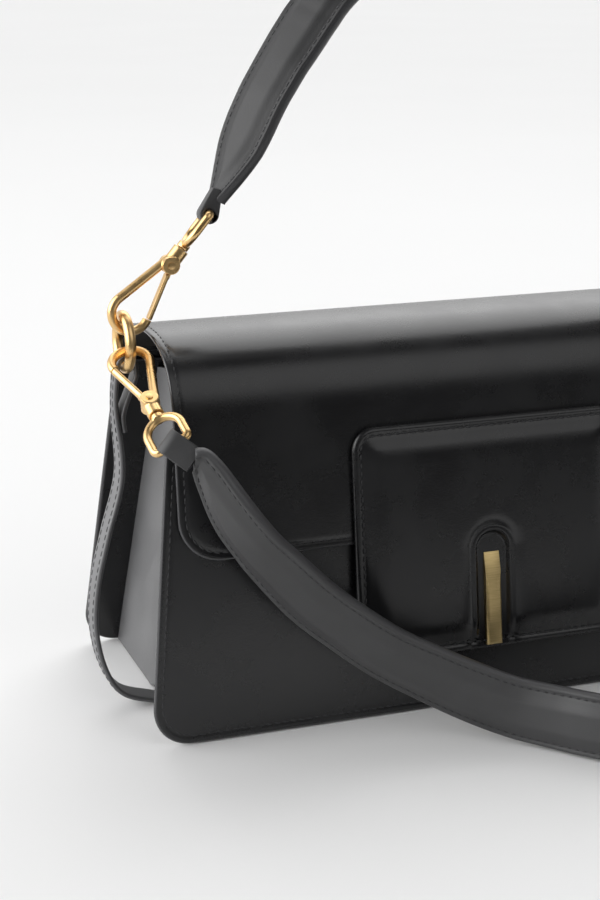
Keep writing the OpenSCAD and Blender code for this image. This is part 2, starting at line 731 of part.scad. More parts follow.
// A band along a route. The section's points are shares of the half width and heights
module strap(route, section, steps, side) {
    mids = straight_ends([for (r = route) r[0]], steps);
    across = straight_ends([for (r = route) r[1]], steps);
    k = len(mids) - 1;
    run = lengths(mids);
    rings = [for (i = [0:k]) let (
        t = unit(mids[min(i + 1, k)] - mids[max(i - 1, 0)]),
        w = square_to(across[i], t),
        up = side * cross(t, w),
        h = half_width(min(run[i], run[k] - run[i])),
        swell = min(1, min(run[i], run[k] - run[i]) / 12))
        [for (q = section) mids[i] + q[0] * h * w + (q[1] + q[2] * swell) * up]];
    n = len(section);
    points = [for (r = rings) for (q = r) q];
    walls = [for (i = [0:k - 1]) for (j = [0:n - 1]) let (
        a = i * n + j, b = i * n + (j + 1) % n, c = b + n, d = a + n,
        leftward = section[(j + 1) % n][0] < section[j][0])
        for (f = leftward ? [[a, d, b], [b, d, c]] : [[a, c, b], [a, d, c]]) f];
    caps = concat([for (j = [1:n - 2]) [0, j, j + 1]],
        [for (j = [1:n - 2]) [k * n, k * n + j + 1, k * n + j]]);
    flip = side < 0;
    polyhedron(points, flip ? [for (f = concat(walls, caps)) reversed(f)] : concat(walls, caps));
}

half_ply = loop_ply + 0.02;
edge_t = half_ply;
lining_section = [[-1, -half_ply, 0], [1, -half_ply, 0], [1, -seat, 0], [-1, -seat, 0]];
pad_rise = strap_pad_t - edge_t;
pad_section = [[-1, seat, 0], [1, seat, 0], [1, edge_t, 0], [0.8, edge_t, 0.1 * pad_rise],
    [0.45, edge_t, pad_rise], [-0.45, edge_t, pad_rise], [-0.8, edge_t, 0.1 * pad_rise], [-1, edge_t, 0]];

// The end loop: a ply round the eye's bar, closed behind it
module strap_loop(e, dir, across) {
    r1 = loop_r + loop_ply;
    multmatrix(frame_at(e, unit(cross(across, dir)), dir, across)) translate([0, 0, -neck_w / 2])
        linear_extrude(neck_w) difference() {
            union() {
                circle(r = r1, $fn = fine);
                polygon([[-r1 * 0.94, 0], [r1 * 0.94, 0], [loop_ply, loop_len - 0.1], [-loop_ply, loop_len - 0.1]]);
            }
            circle(r = loop_r, $fn = fine);
        }
}

module handle_strap() {
    color(black) strap(handle_route, pad_section, 3, 1);
}
module handle_lining() {
    color(dark) strap(handle_route, lining_section, 3, 1);
}
module handle_loop_left() {
    color(black) strap_loop(handle_end, handle_dir_l, handle_across);
}
module handle_loop_right() {
    color(black) strap_loop(mirror_x(handle_end), handle_dir_r, mirror_x(handle_across));
}
module handle_eye_left() {
    on_handle_hook() rotate([0, 0, handle_turn]) eye();
}
module handle_eye_right() {
    other_side() handle_eye_left();
}
module handle_hook_left() {
    on_handle_hook() hook();
}
module handle_hook_right() {
    other_side() handle_hook_left();
}
module handle_gate_left() {
    on_handle_hook() gate();
}
module handle_gate_right() {
    other_side() handle_gate_left();
}
module handle_screw_left() {
    on_handle_hook() screw();
}
module handle_screw_right() {
    other_side() handle_screw_left();
}

module shoulder_strap() {
    color(black) strap(shoulder_route, pad_section, 2, -1);
}
module shoulder_lining() {
    color(dark) strap(shoulder_route, lining_section, 2, -1);
}
module shoulder_loop_left() {
    color(black) strap_loop(shoulder_end, shoulder_dir_l, shoulder_across);
}
module shoulder_loop_right() {
    color(black) strap_loop(shoulder_other, shoulder_dir_r, shoulder_across_r);
}
module shoulder_eye_left() {
    on_shoulder_hook() rotate([0, 0, shoulder_turn]) eye();
}
module shoulder_eye_right() {
    other_side() shoulder_eye_left();
}
module shoulder_hook_left() {
    on_shoulder_hook() hook();
}
module shoulder_hook_right() {
    other_side() shoulder_hook_left();
}
module shoulder_gate_left() {
    on_shoulder_hook() gate();
}
module shoulder_gate_right() {
    other_side() shoulder_gate_left();
}
module shoulder_screw_left() {
    on_shoulder_hook() screw();
}
module shoulder_screw_right() {
    other_side() shoulder_screw_left();
}

front_panel();
back_panel();
gusset_left();
gusset_right();
base_panel();
base_board();
lining_front();
lining_back();
slip_pocket();
lower_magnet();
flap_hem();
carry_band();
flap();
flap_lining();
tab_pad();
tab_backing();
upper_magnet();
bar();
bar_washers();
ring_left();
ring_right();
handle_strap();
handle_lining();
handle_loop_left();
handle_loop_right();
handle_eye_left();
handle_eye_right();
handle_hook_left();
handle_hook_right();
handle_gate_left();
handle_gate_right();
handle_screw_left();
handle_screw_right();
shoulder_strap();
shoulder_lining();
shoulder_loop_left();
shoulder_loop_right();
shoulder_eye_left();
shoulder_eye_right();
shoulder_hook_left();
shoulder_hook_right();
shoulder_gate_left();
shoulder_gate_right();
shoulder_screw_left();
shoulder_screw_right();
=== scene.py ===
"""A black leather baguette bag: panels, pinched gussets, a wide flap with a padded tab, a carrying
band with rings, and two padded straps on swivel snap hooks. Shapes are worked out in millimetres
as numpy grids and written to meshes in metres."""

import bmesh
import bpy
import math
import numpy as np
from mathutils import Matrix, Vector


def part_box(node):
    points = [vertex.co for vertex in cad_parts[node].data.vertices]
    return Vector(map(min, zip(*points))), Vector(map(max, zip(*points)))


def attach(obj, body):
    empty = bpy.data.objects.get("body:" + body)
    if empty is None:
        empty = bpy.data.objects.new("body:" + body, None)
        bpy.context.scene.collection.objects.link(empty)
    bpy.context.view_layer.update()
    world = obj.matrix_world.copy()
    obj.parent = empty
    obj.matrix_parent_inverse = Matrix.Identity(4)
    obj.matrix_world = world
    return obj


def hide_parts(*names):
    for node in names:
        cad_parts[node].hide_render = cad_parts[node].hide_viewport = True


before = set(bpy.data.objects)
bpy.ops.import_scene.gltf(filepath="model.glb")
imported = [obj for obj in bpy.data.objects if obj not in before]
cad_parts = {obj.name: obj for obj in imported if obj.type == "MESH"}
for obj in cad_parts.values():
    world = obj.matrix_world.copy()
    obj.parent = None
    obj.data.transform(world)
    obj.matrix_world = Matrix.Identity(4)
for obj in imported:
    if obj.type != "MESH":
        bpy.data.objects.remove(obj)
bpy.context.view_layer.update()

MM = 0.001
PANEL_W, PANEL_H, PANEL_T = 270.0, 126.0, 2.4
TAPER = math.radians(5.7)
FRONT_Y, FRONT_LEAN = -44.0, math.radians(7.0)
BACK_Y, BACK_LEAN = 68.0, math.radians(9.5)
FLAP_HALF, FLAP_LOW, FLAP_T, FLAP_GAP = 121.5, 68.0, 2.2, 0.3
TAB_HALF, TAB_LOW, TAB_HIGH = 55.0, 22.0, 111.5
RING = np.array([-130.5, 0.0, 142.61])
RING_R, WIRE_R, RING_STEPS, WIRE_STEPS = 9.65, 2.0, 160, 40
FLIP = np.array([-1.0, 1.0, 1.0])

# The camera, solved from the photograph: place in metres, turn, and focal length in pixels
CAMERA_AT, CAMERA_YAW, CAMERA_PITCH = (-0.2945, -0.6451, 0.2935), math.radians(19.80), math.radians(16.16)
FOCAL_PX, LONG_SIDE_PX, SENSOR = 1859.04, 900.0, 36.0
SIGHT = np.array([
    math.sin(CAMERA_YAW) * math.cos(CAMERA_PITCH),
    math.cos(CAMERA_YAW) * math.cos(CAMERA_PITCH),
    -math.sin(CAMERA_PITCH),
])


# Materials


class Tone:
    """One node socket, with arithmetic that adds Math nodes."""

    def __init__(self, paint, socket):
        self.paint, self.socket = paint, socket

    def _math(self, operation, other):
        """The tone that an operation makes of this one and another tone or number."""
        node = self.paint.node("Math", {0: self, 1: other}, operation=operation)
        return Tone(self.paint, node.outputs[0])

    def __add__(self, other):
        return self._math("ADD", other)

    def __sub__(self, other):
        return self._math("SUBTRACT", other)

    def __mul__(self, other):
        return self._math("MULTIPLY", other)

    def ramp(self, low, high, to_low=0.0, to_high=1.0):
        """A smooth step from to_low at low to to_high at high."""
        node = self.paint.node(
            "MapRange",
            {"Value": self, "From Min": low, "From Max": high, "To Min": to_low, "To Max": to_high},
            interpolation_type="SMOOTHSTEP",
        )
        return Tone(self.paint, node.outputs["Result"])


class Paint:
    """A material's or world's node tree. Nodes are made by node(), values by feed()."""

    def __init__(self, tree):
        self.tree = tree
        tree.nodes.clear()

    def feed(self, slot, value):
        """Links a tone to a socket, or sets the socket to a number, a vector or an opaque colour."""
        if isinstance(value, Tone):
            self.tree.links.new(value.socket, slot)
        elif hasattr(value, "__len__") and len(value) == 3 and slot.type == "RGBA":
            slot.default_value = (*value, 1.0)
        else:
            slot.default_value = value

    def node(self, kind, inputs=None, **settings):
        """A node of a kind, with its settings and then the values or links of its sockets."""
        node = self.tree.nodes.new("ShaderNode" + kind)
        for key, value in settings.items():
            setattr(node, key, value)
        for key, value in (inputs or {}).items():
            self.feed(node.inputs[key], value)
        return node

    def where(self):
        """The place on the piece, in metres."""
        return Tone(self, self.node("TexCoord").outputs["Object"])

    def stored(self, name):
        """A value stored on the mesh's points."""
        return Tone(self, self.node("Attribute", attribute_name=name).outputs["Fac"])

    def noise(self, at, scale, detail, rough):
        """Cloudy noise, with scale clouds to a metre."""
        node = self.node("TexNoise", {"Vector": at, "Scale": scale, "Detail": detail, "Roughness": rough})
        return Tone(self, node.outputs["Fac"])

    def cells(self, at, scale):
        """The distance to the middle of the nearest cell, with scale cells to a metre."""
        node = self.node("TexVoronoi", {"Vector": at, "Scale": scale})
        return Tone(self, node.outputs["Distance"])

    def mixed(self, share, a, b):
        """A colour between a and b: a at share 0, b at share 1."""
        node = self.node("Mix", {0: share, 6: a, 7: b}, data_type="RGBA")
        return Tone(self, node.outputs[2])

    def bump(self, height, strength, distance):
        """A normal bent by a height, where a height of 1 is distance metres."""
        node = self.node("Bump", {"Height": height, "Strength": strength, "Distance": distance})
        return Tone(self, node.outputs["Normal"])


def material(name, constants, build):
    """A Principled material: constants sit on the shader's sockets, and build gives what varies: the
    colour, or the colour and roughness, or these and the normal."""
    mat = bpy.data.materials.new(name)
    mat.use_nodes = True
    paint = Paint(mat.node_tree)
    shader = paint.node("BsdfPrincipled", constants)
    for key, value in zip(("Base Color", "Roughness", "Normal"), build(paint)):
        paint.feed(shader.inputs[key], value)
    out = paint.node("OutputMaterial")
    paint.tree.links.new(shader.outputs[0], out.inputs[0])
    return mat


# The painted edge's tone is lighter than the black body leather, as a painted highlight where the rounded
# edges catch light
EDGE_PAINT_HIGHLIGHT_TONE = (0.05, 0.05, 0.053)
CLOUDS, PORES, CREASES = 38.0, 1500.0, 620.0
GRAIN_BUMP, GRAIN_DEPTH = 0.16, 0.00012
PLATE_CLOUDS = 160.0


def leather(name, ior, dark, light, rough, grain=1.0):
    """A calf leather. Its grain is bump from small cells and creases, and its tone and gloss change
    slowly. Where the piece's rim value is 1 it has a glossier painted edge. The edge's lighter tone
    is a painted highlight along the edge."""

    def build(paint):
        """Tone between dark and light, gloss about rough, and the bump."""
        at = paint.where()
        cloud = paint.noise(at, CLOUDS, 4.0, 0.55)
        pores = paint.cells(at, PORES)
        crease = paint.noise(at, CREASES, 3.0, 0.6)
        rim = paint.stored("rim")
        face = paint.mixed(cloud.ramp(0.3, 0.7), dark, light)
        gloss = cloud.ramp(0.25, 0.75, rough - 0.04, rough + 0.05)
        rough_tone = gloss + crease * 0.05 - rim * 0.08
        normal = paint.bump(pores * 0.6 + crease, GRAIN_BUMP * grain, GRAIN_DEPTH)
        # Where rim is 1 the face tone gives way to the edge tone, a painted highlight on the black leather
        return paint.mixed(rim, face, EDGE_PAINT_HIGHLIGHT_TONE), rough_tone, normal

    return material(name, {"IOR": ior}, build)


def gold_look(paint):
    """Satin gold plate: cloudy tone and gloss, with very fine brushing as bump."""
    at = paint.where()
    cloud = paint.noise(at, PLATE_CLOUDS, 3.0, 0.6)
    fine = paint.noise(at, 2600.0, 2.0, 0.5)
    colour = paint.mixed(cloud.ramp(0.3, 0.7), (0.78, 0.51, 0.22), (0.86, 0.59, 0.28))
    return colour, cloud.ramp(0.2, 0.8, 0.24, 0.34), paint.bump(fine, 0.12, 0.00004)


def steel_look(paint):
    """Plain steel of the hidden magnets and washers, with a cloudy gloss."""
    cloud = paint.noise(paint.where(), PLATE_CLOUDS, 3.0, 0.6)
    return paint.mixed(cloud, (0.5, 0.5, 0.51), (0.6, 0.6, 0.61)), cloud.ramp(0.2, 0.8, 0.3, 0.42)


BRUSHING = (120.0, 400.0, 5200.0)


def brushed_look(paint):
    """The bar's brushing runs across it: noise that is stretched along X and tight along Z."""
    at = paint.node("Mapping", {"Vector": paint.where(), "Scale": BRUSHING})
    streak = paint.noise(Tone(paint, at.outputs[0]), 1.0, 3.0, 0.55)
    colour = paint.mixed(streak.ramp(0.3, 0.7), (0.62, 0.46, 0.2), (0.78, 0.6, 0.3))
    return colour, streak.ramp(0.2, 0.8, 0.3, 0.42), paint.bump(streak, 0.2, 0.00005)


def napped(name, dark, light):
    """A napped lining or board: soft cloudy colour with a fine nap."""

    def build(paint):
        """Tone between dark and light, with the nap as gloss and bump."""
        at = paint.where()
        nap = paint.noise(at, 900.0, 5.0, 0.7)
        cloud = paint.noise(at, 30.0, 3.0, 0.5)
        colour = paint.mixed(cloud.ramp(0.3, 0.7), dark, light)
        return colour, nap.ramp(0.2, 0.8, 0.8, 0.95), paint.bump(nap, 0.4, 0.0002)

    return material(name, {}, build)


def thread_look(paint):
    """Waxed thread, darker and lighter along its plies."""
    at = paint.where()
    ply = paint.noise(at, 3000.0, 2.0, 0.5)
    colour = paint.mixed(ply, (0.012, 0.012, 0.013), (0.035, 0.035, 0.038))
    return colour, ply.ramp(0.2, 0.8, 0.45, 0.6)


# All of these are copies of one black calf leather. The gusset, band and shoulder-strap copies get lighter
# grey tones as painted light, for the light from the left that falls on those faces. The body and handle
# copies stay near black.
BODY_LEATHER = leather("body_leather", 1.55, (0.0045, 0.0045, 0.0052), (0.0075, 0.0075, 0.0085), 0.25)
GUSSET_LEATHER_PAINTED_LIT = leather("gusset_leather", 1.8, (0.085, 0.085, 0.088), (0.11, 0.11, 0.113), 0.5, 1.2)
STRAP_LEATHER_PAINTED_LIT = leather("strap_leather", 1.6, (0.026, 0.026, 0.027), (0.037, 0.037, 0.0385), 0.5, 1.5)
HANDLE_LEATHER = leather("handle_leather", 1.45, (0.011, 0.011, 0.012), (0.017, 0.017, 0.018), 0.4, 1.5)
BAND_LEATHER_PAINTED_LIT = leather("band_leather", 1.8, (0.1, 0.1, 0.103), (0.13, 0.13, 0.134), 0.45, 1.2)
SATIN_GOLD = material("satin_gold", {"Metallic": 1.0}, gold_look)
BRUSHED_GOLD = material("brushed_gold", {"Metallic": 1.0}, brushed_look)
PLAIN_STEEL = material("plain_steel", {"Metallic": 1.0}, steel_look)
SUEDE = napped("suede_lining", (0.02, 0.018, 0.016), (0.04, 0.036, 0.032))
BOARD = napped("stiff_board", (0.16, 0.12, 0.08), (0.24, 0.19, 0.13))
THREAD = material("waxed_thread", {"IOR": 1.5}, thread_look)


# Meshes


def tidy_mesh(mesh, join):
    """Joins doubled points and turns every face outwards."""
    work = bmesh.new()
    work.from_mesh(mesh)
    bmesh.ops.remove_doubles(work, verts=work.verts, dist=join)
    bmesh.ops.recalc_face_normals(work, faces=work.faces)
    work.to_mesh(mesh)
    work.free()


SHARP_ANGLE = math.radians(60.0)


def piece(name, points, faces, mat, body, nodes=(), join=1e-6, rim=None):
    """A mesh object from points in millimetres, riding on a body and standing for CAD nodes. The
    values of rim, 1 on painted edges and 0 elsewhere, are stored on its points."""
    mesh = bpy.data.meshes.new(name)
    mesh.from_pydata((np.asarray(points).reshape(-1, 3) * MM).tolist(), [], [tuple(f) for f in faces])
    if rim is not None:
        stored = mesh.attributes.new("rim", "FLOAT", "POINT")
        stored.data.foreach_set("value", np.ravel(rim).astype(np.float32))
    tidy_mesh(mesh, join)
    mesh.materials.append(mat)
    mesh.shade_smooth()
    mesh.set_sharp_from_angle(angle=SHARP_ANGLE)
    obj = bpy.data.objects.new(name, mesh)
    bpy.context.collection.objects.link(obj)
    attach(obj, body)
    if nodes:
        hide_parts(*nodes)
    return obj


def grid_faces(rows, cols, round_rows=False, round_cols=False):
    """Quads of a grid of rows by cols points. round_rows and round_cols join the last back to the
    first."""
    i = np.arange(rows if round_rows else rows - 1)[:, None]
    j = np.arange(cols if round_cols else cols - 1)[None, :]
    a = i * cols + j
    b = i * cols + (j + 1) % cols
    c = ((i + 1) % rows) * cols + (j + 1) % cols
    d = ((i + 1) % rows) * cols + j
    return np.stack([a, b, c, d], -1).reshape(-1, 4)


def tube_faces(rows, cols):
    """Quads round a tube of rows rings of cols points, with an n-gon at each end."""
    ends = [list(range(cols))[::-1], list(range((rows - 1) * cols, rows * cols))]
    return [list(q) for q in grid_faces(rows, cols, round_cols=True)] + ends


def folded_faces(rows, cols):
    """Quads round a sheet whose rows run over its face and back again under it, closed along its
    first and last row. cols counts the points across one face."""
    n = 2 * cols
    faces = [list(q) for q in grid_faces(rows, n, round_cols=True)]
    for base in (0, (rows - 1) * n):
        faces += [[base + j, base + j + 1, base + n - 2 - j, base + n - 1 - j] for j in range(cols - 1)]
    return faces


def spread_from_edge(half, fine, steps):
    """Places across a width of 2 * half: close together near both edges, then even."""
    near = np.array(fine, float)
    middle = np.linspace(-(half - near[-1]), half - near[-1], steps)
    return np.concatenate([-half + near[:-1], middle, (half - near[:-1])[::-1]])


# Distances from an edge where a sheet has rows: close where it is rounded and where its seam dips
EDGE_STEPS = [
    0, 0.05, 0.2, 0.45, 0.8, 1.2, 1.7, 2.2, 2.6, 3.0, 3.4, 3.9, 4.6, 5.6, 7.0, 9.0, 12.0,
]


def rounded_edge(distance, radius):
    """How full a sheet is at a distance from its edge: a quarter circle, then 1."""
    t = np.clip(distance / radius, 0.0, 1.0)
    return np.sqrt(np.clip(1.0 - (1.0 - t) ** 2, 0.0, 1.0))


def seam_dip(distance, line, width, depth):
    """The valley that a row of stitches draws into leather, a bell round its line."""
    return -depth * np.exp(-(((distance - line) / width) ** 2))


def smoothstep(x, low, high):
    """0 below low, 1 above high, and 3t^2 - 2t^3 between them."""
    t = np.clip((x - low) / (high - low), 0.0, 1.0)
    return t * t * (3.0 - 2.0 * t)


def corner_rows(edge, inwards, radius, steps=16):
    """Rows round a corner: edge + inwards radius (1 - cos a), close together at the edge."""
    return edge + inwards * radius * (1 - np.cos(np.linspace(0, math.pi / 2, steps)))


def drawn_in(distance, radius):
    """How far a round corner draws the side in at a distance from the end: the circle's
    r - sqrt(r^2 - d^2), with d = r - distance."""
    d = np.clip(radius - distance, 0, radius)
    return radius - np.sqrt(np.clip(radius * radius - d * d, 0, None))


def corner_edge(edge, side, end, radius):
    """The distance from the edge inside a round corner, where both distances are under radius:
    radius less the distance from the corner's centre. Elsewhere it is edge."""
    past_side, past_end = radius - side, radius - end
    round_edge = radius - np.hypot(past_side, past_end)
    return np.where((past_side > 0) & (past_end > 0), round_edge, edge)


RIM_FADE, SHEET_PITCH, SHEET_COLS = (0.35, 0.9), 3.0, 41


def sheet_points(across, corner, place, thickness, face):
    """A closed sheet's points, row by row over its face and back under it, and their rim values.
    across(h) gives the half width at height h; corner is (low, high, radius below, radius above).
    place(x, h, d) puts a point at depth d; face(x, h, edge) is how far the face stands proud.
    The depth at the edge follows a quarter circle, so the edge is round."""
    low, high, round_low, round_high = corner
    steps = np.array(EDGE_STEPS)
    bottom = np.concatenate([low + steps, corner_rows(low, 1, round_low)])
    top = np.concatenate([high - steps, corner_rows(high, -1, round_high)])
    bottom, top = bottom[bottom < (low + high) / 2], top[top > (low + high) / 2]
    inner = np.arange(bottom.max(), top.min(), SHEET_PITCH)[1:]
    h = np.unique(np.round(np.concatenate([bottom, inner, top]), 4))
    straight = across(h)
    half = straight - drawn_in(h - low, round_low) - drawn_in(high - h, round_high)
    u = spread_from_edge(1.0, steps / straight.max(), SHEET_COLS)
    x = half[:, None] * u[None, :]
    level = np.repeat(h[:, None], len(u), 1)
    side = straight[:, None] - np.abs(x)
    edge = np.minimum(side, np.minimum(level - low, high - level))
    edge = corner_edge(edge, side, level - low, round_low)
    edge = corner_edge(edge, side, high - level, round_high)
    edge = np.clip(edge, 0, None)
    full = rounded_edge(edge, thickness / 2)
    front = place(x, level, thickness / 2 * (1 - full) - face(x, level, edge))
    rear = place(x, level, thickness / 2 * (1 + full))
    ring = np.concatenate([front, rear[:, ::-1]], 1)
    rim = 1 - smoothstep(edge, *RIM_FADE)
    return ring, np.concatenate([rim, rim[:, ::-1]], 1)


def sheet(name, across, corner, place, thickness, face, mat, body, nodes):
    """A leather or lining sheet with round edges, as a closed mesh."""
    ring, rim = sheet_points(across, corner, place, thickness, face)
    faces = folded_faces(ring.shape[0], ring.shape[1] // 2)
    piece(name, ring, faces, mat, body, nodes, join=1e-5, rim=rim)


def on_front(x, h, d):
    """A place on the leaning front panel: h up its slope, d inwards from its outer face."""
    c, s = math.cos(FRONT_LEAN), math.sin(FRONT_LEAN)
    return np.stack([x, FRONT_Y + d * c + h * s, PANEL_T * s - d * s + h * c], -1)


def on_back(x, h, d):
    """A place on the leaning back panel, d inwards from its outer face."""
    c, s = math.cos(BACK_LEAN), math.sin(BACK_LEAN)
    return np.stack([x, BACK_Y - d * c - h * s, PANEL_T * s - d * s + h * c], -1)


def run_along(path):
    """The distance from a path's start to each of its points, along the path."""
    return np.concatenate([[0], np.cumsum(np.linalg.norm(np.diff(path, axis=0), axis=1))])


def unit(v):
    """A vector, or each row of an array, brought to length 1."""
    v = np.asarray(v, float)
    return v / np.linalg.norm(v, axis=-1, keepdims=True)


def along(path):
    """The unit direction of a path at each of its points."""
    return unit(np.gradient(path, axis=0))


def resample(path, pitch, clear):
    """Points every pitch millimetres along a path, from clear past its start to clear short of
    its end, with the unit directions there and their shares of the whole run."""
    run = run_along(path)
    sewn = run[-1] - 2 * clear
    count = max(2, int(sewn / pitch))
    at = clear + (np.arange(count) + 0.5) * sewn / count

    def point_at(r):
        """The places at distances r along the path."""
        return np.stack([np.interp(r, run, path[:, k]) for k in range(3)], 1)

    way = point_at(at + 0.3) - point_at(at - 0.3)
    return point_at(at), unit(way), at / run[-1]


STITCH_HALF_W, STITCH_TILT, STITCH_SIDES = 0.42, 0.1, 6
STITCH_RINGS = np.array([[-0.5, 0.15], [-0.36, 0.8], [0.0, 1.0], [0.36, 0.8], [0.5, 0.15]])


def stitch_row(path, normal, pitch=3.2, length=2.3, height=0.26, clear=0.0):
    """Stitches along a path, clear of its ends: each a small barrel, slightly turned, lying half
    in the leather. A barrel's rings stand at shares of its length and swell by shares of its
    half width and height. Returns points and faces."""
    point, way, share = resample(np.asarray(path, float), pitch, clear)
    up = np.asarray(normal, float)
    if up.ndim == 2:
        s = np.linspace(0, 1, len(up))
        up = np.stack([np.interp(share, s, up[:, k]) for k in range(3)], 1)
    up = np.broadcast_to(up, point.shape)
    up = unit(up - (up * way).sum(1)[:, None] * way)
    side = np.cross(way, up)
    way = way + STITCH_TILT * side
    around = np.linspace(0, 2 * math.pi, STITCH_SIDES, endpoint=False)
    rings = len(STITCH_RINGS)
    a, b = np.meshgrid(np.arange(rings), np.arange(STITCH_SIDES), indexing="ij")
    swell = STITCH_RINGS[a, 1]
    wide = swell * np.cos(around)[b] * STITCH_HALF_W
    high = swell * np.sin(around)[b] * height
    local = np.stack([STITCH_RINGS[a, 0] * length, wide, high], -1).reshape(-1, 3)
    points = (
        point[:, None, :]
        + local[None, :, 0, None] * way[:, None, :]
        + local[None, :, 1, None] * side[:, None, :]
        + local[None, :, 2, None] * up[:, None, :]
    )
    one = tube_faces(rings, STITCH_SIDES)
    faces = [[v + rings * STITCH_SIDES * k for v in f] for k in range(len(points)) for f in one]
    return points.reshape(-1, 3), faces


def stitching(name, rows, body):
    """Several rows of stitches, each with its points and faces, as one piece."""
    points, faces, base = [], [], 0
    for p, f in rows:
        points.append(p)
        faces += [[v + base for v in q] for q in f]
        base += len(p)
    piece(name, np.concatenate(points), faces, THREAD, body, join=1e-9)


SWEPT_RIM_FADE = (0.3, 0.9)


def swept(name, middle, across, out, half, section, mat, body, nodes):
    """A band along a path. Each row is middle + x * across + y * out, with (x, y) from
    section(half): a closed loop that depends on the half width there."""
    loops = [section(h) for h in half]
    stations = zip(middle, across, out, loops)
    rows = np.stack([m + loop[:, :1] * a + loop[:, 1:] * o for m, a, o, loop in stations])
    edges = [h - np.abs(loop[:, 0]) for h, loop in zip(half, loops)]
    rim = np.stack([1 - smoothstep(edge, *SWEPT_RIM_FADE) for edge in edges])
    faces = tube_faces(rows.shape[0], rows.shape[1])
    return piece(name, rows, faces, mat, body, nodes, join=1e-7, rim=rim)


def curve(points, steps):
    """A smooth curve through points, a Catmull-Rom spline, with steps places from each point to
    the next. Past the ends it goes on straight."""
    p = np.asarray(points, float)
    p = np.vstack([2 * p[0] - p[1], p, 2 * p[-1] - p[-2]])
    t = np.linspace(0, 1, steps, endpoint=False)[:, None]
    parts = []
    for k in range(1, len(p) - 2):
        a, b, c, d = p[k - 1], p[k], p[k + 1], p[k + 2]
        bend = (2 * a - 5 * b + 4 * c - d) * t**2
        parts.append(0.5 * (2 * b + (c - a) * t + bend + (3 * b - a - 3 * c + d) * t**3))
    return np.vstack(parts + [p[-2:-1]])


# Panels, gussets, base and linings


def panel_half(h):
    """Half the panel's width at a height up its slope: its sides lean in by the taper."""
    return PANEL_W / 2 - h * math.tan(TAPER)


PANEL_SEAM, BELLY, BELLY_REACH = 3.1, 0.5, 150.0


def panel_face(x, h, edge):
    """The panel's face: a stitch valley along the edge, and a very slight belly that is a cosine
    across it and half a sine up it."""
    across = np.cos(np.clip(x / BELLY_REACH, -1, 1) * math.pi / 2)
    belly = BELLY * across * np.sin(np.clip(h / PANEL_H, 0, 1) * math.pi)
    return seam_dip(edge, PANEL_SEAM, 0.8, 0.22) + belly * smoothstep(edge, 2.0, 30.0)


PANEL_FOOT_R, FRONT_TOP_R, BACK_TOP_R = 15.0, 18.0, 6.0
for side, place, top_r in (("front", on_front, FRONT_TOP_R), ("back", on_back, BACK_TOP_R)):
    sheet(
        side + "_panel_leather", panel_half, (0.0, PANEL_H, PANEL_FOOT_R, top_r), place,
        PANEL_T, panel_face, BODY_LEATHER, "bag", [side + "_panel"],
    )


def u_path(half_fn, low, high, radius, inset):
    """A path down one side, round the two bottom corners and up the other side, inset from the
    edge. The corners are quarter circles of radius - inset."""
    h = np.linspace(high, low + radius, 24)
    r = radius - inset
    a = np.linspace(0, math.pi / 2, 14)[1:]
    x = np.concatenate([half_fn(h) - inset, half_fn(low + radius) - radius + r * np.cos(a)])
    h = np.concatenate([h, low + radius - r * np.sin(a)])
    return np.concatenate([np.stack([-x, h], 1), np.stack([x, h], 1)[::-1]])


def seat_path(flat, place, depth):
    """A flat path of (x, height) set at a depth in a surface."""
    return place(flat[:, 0], flat[:, 1], np.full(len(flat), depth))


FRONT_OUT = np.array([0.0, -math.cos(FRONT_LEAN), math.sin(FRONT_LEAN)])
BACK_OUT = np.array([0.0, math.cos(BACK_LEAN), math.sin(BACK_LEAN)])
SEAM_STOP, STITCH_DEPTH = 6.0, 0.2
panel_seam = u_path(panel_half, 0.0, PANEL_H - SEAM_STOP, PANEL_FOOT_R, PANEL_SEAM)
stitching(
    "panel_stitches",
    [
        stitch_row(seat_path(panel_seam, on_front, STITCH_DEPTH), FRONT_OUT),
        stitch_row(seat_path(panel_seam, on_back, STITCH_DEPTH), BACK_OUT),
    ],
    "bag",
)

GUSSET_TOP, GUSSET_INSET, PINCH, APEX = 121.0, 15.0, 24.0, 0.55
GUSSET_FOOT, BAND_ARCH, GUSSET_T, SWELL = 0.4, 2.0, 1.6, 1.1
GLUE = 0.25
ARCH_HALF, ARCH_FADE, MIDDLE_SOFT, START_SOFT, START_DROP = 0.2, 0.06, 0.1, 0.004, 0.03
GUSSET_ROWS, GUSSET_COLS = 70, 61


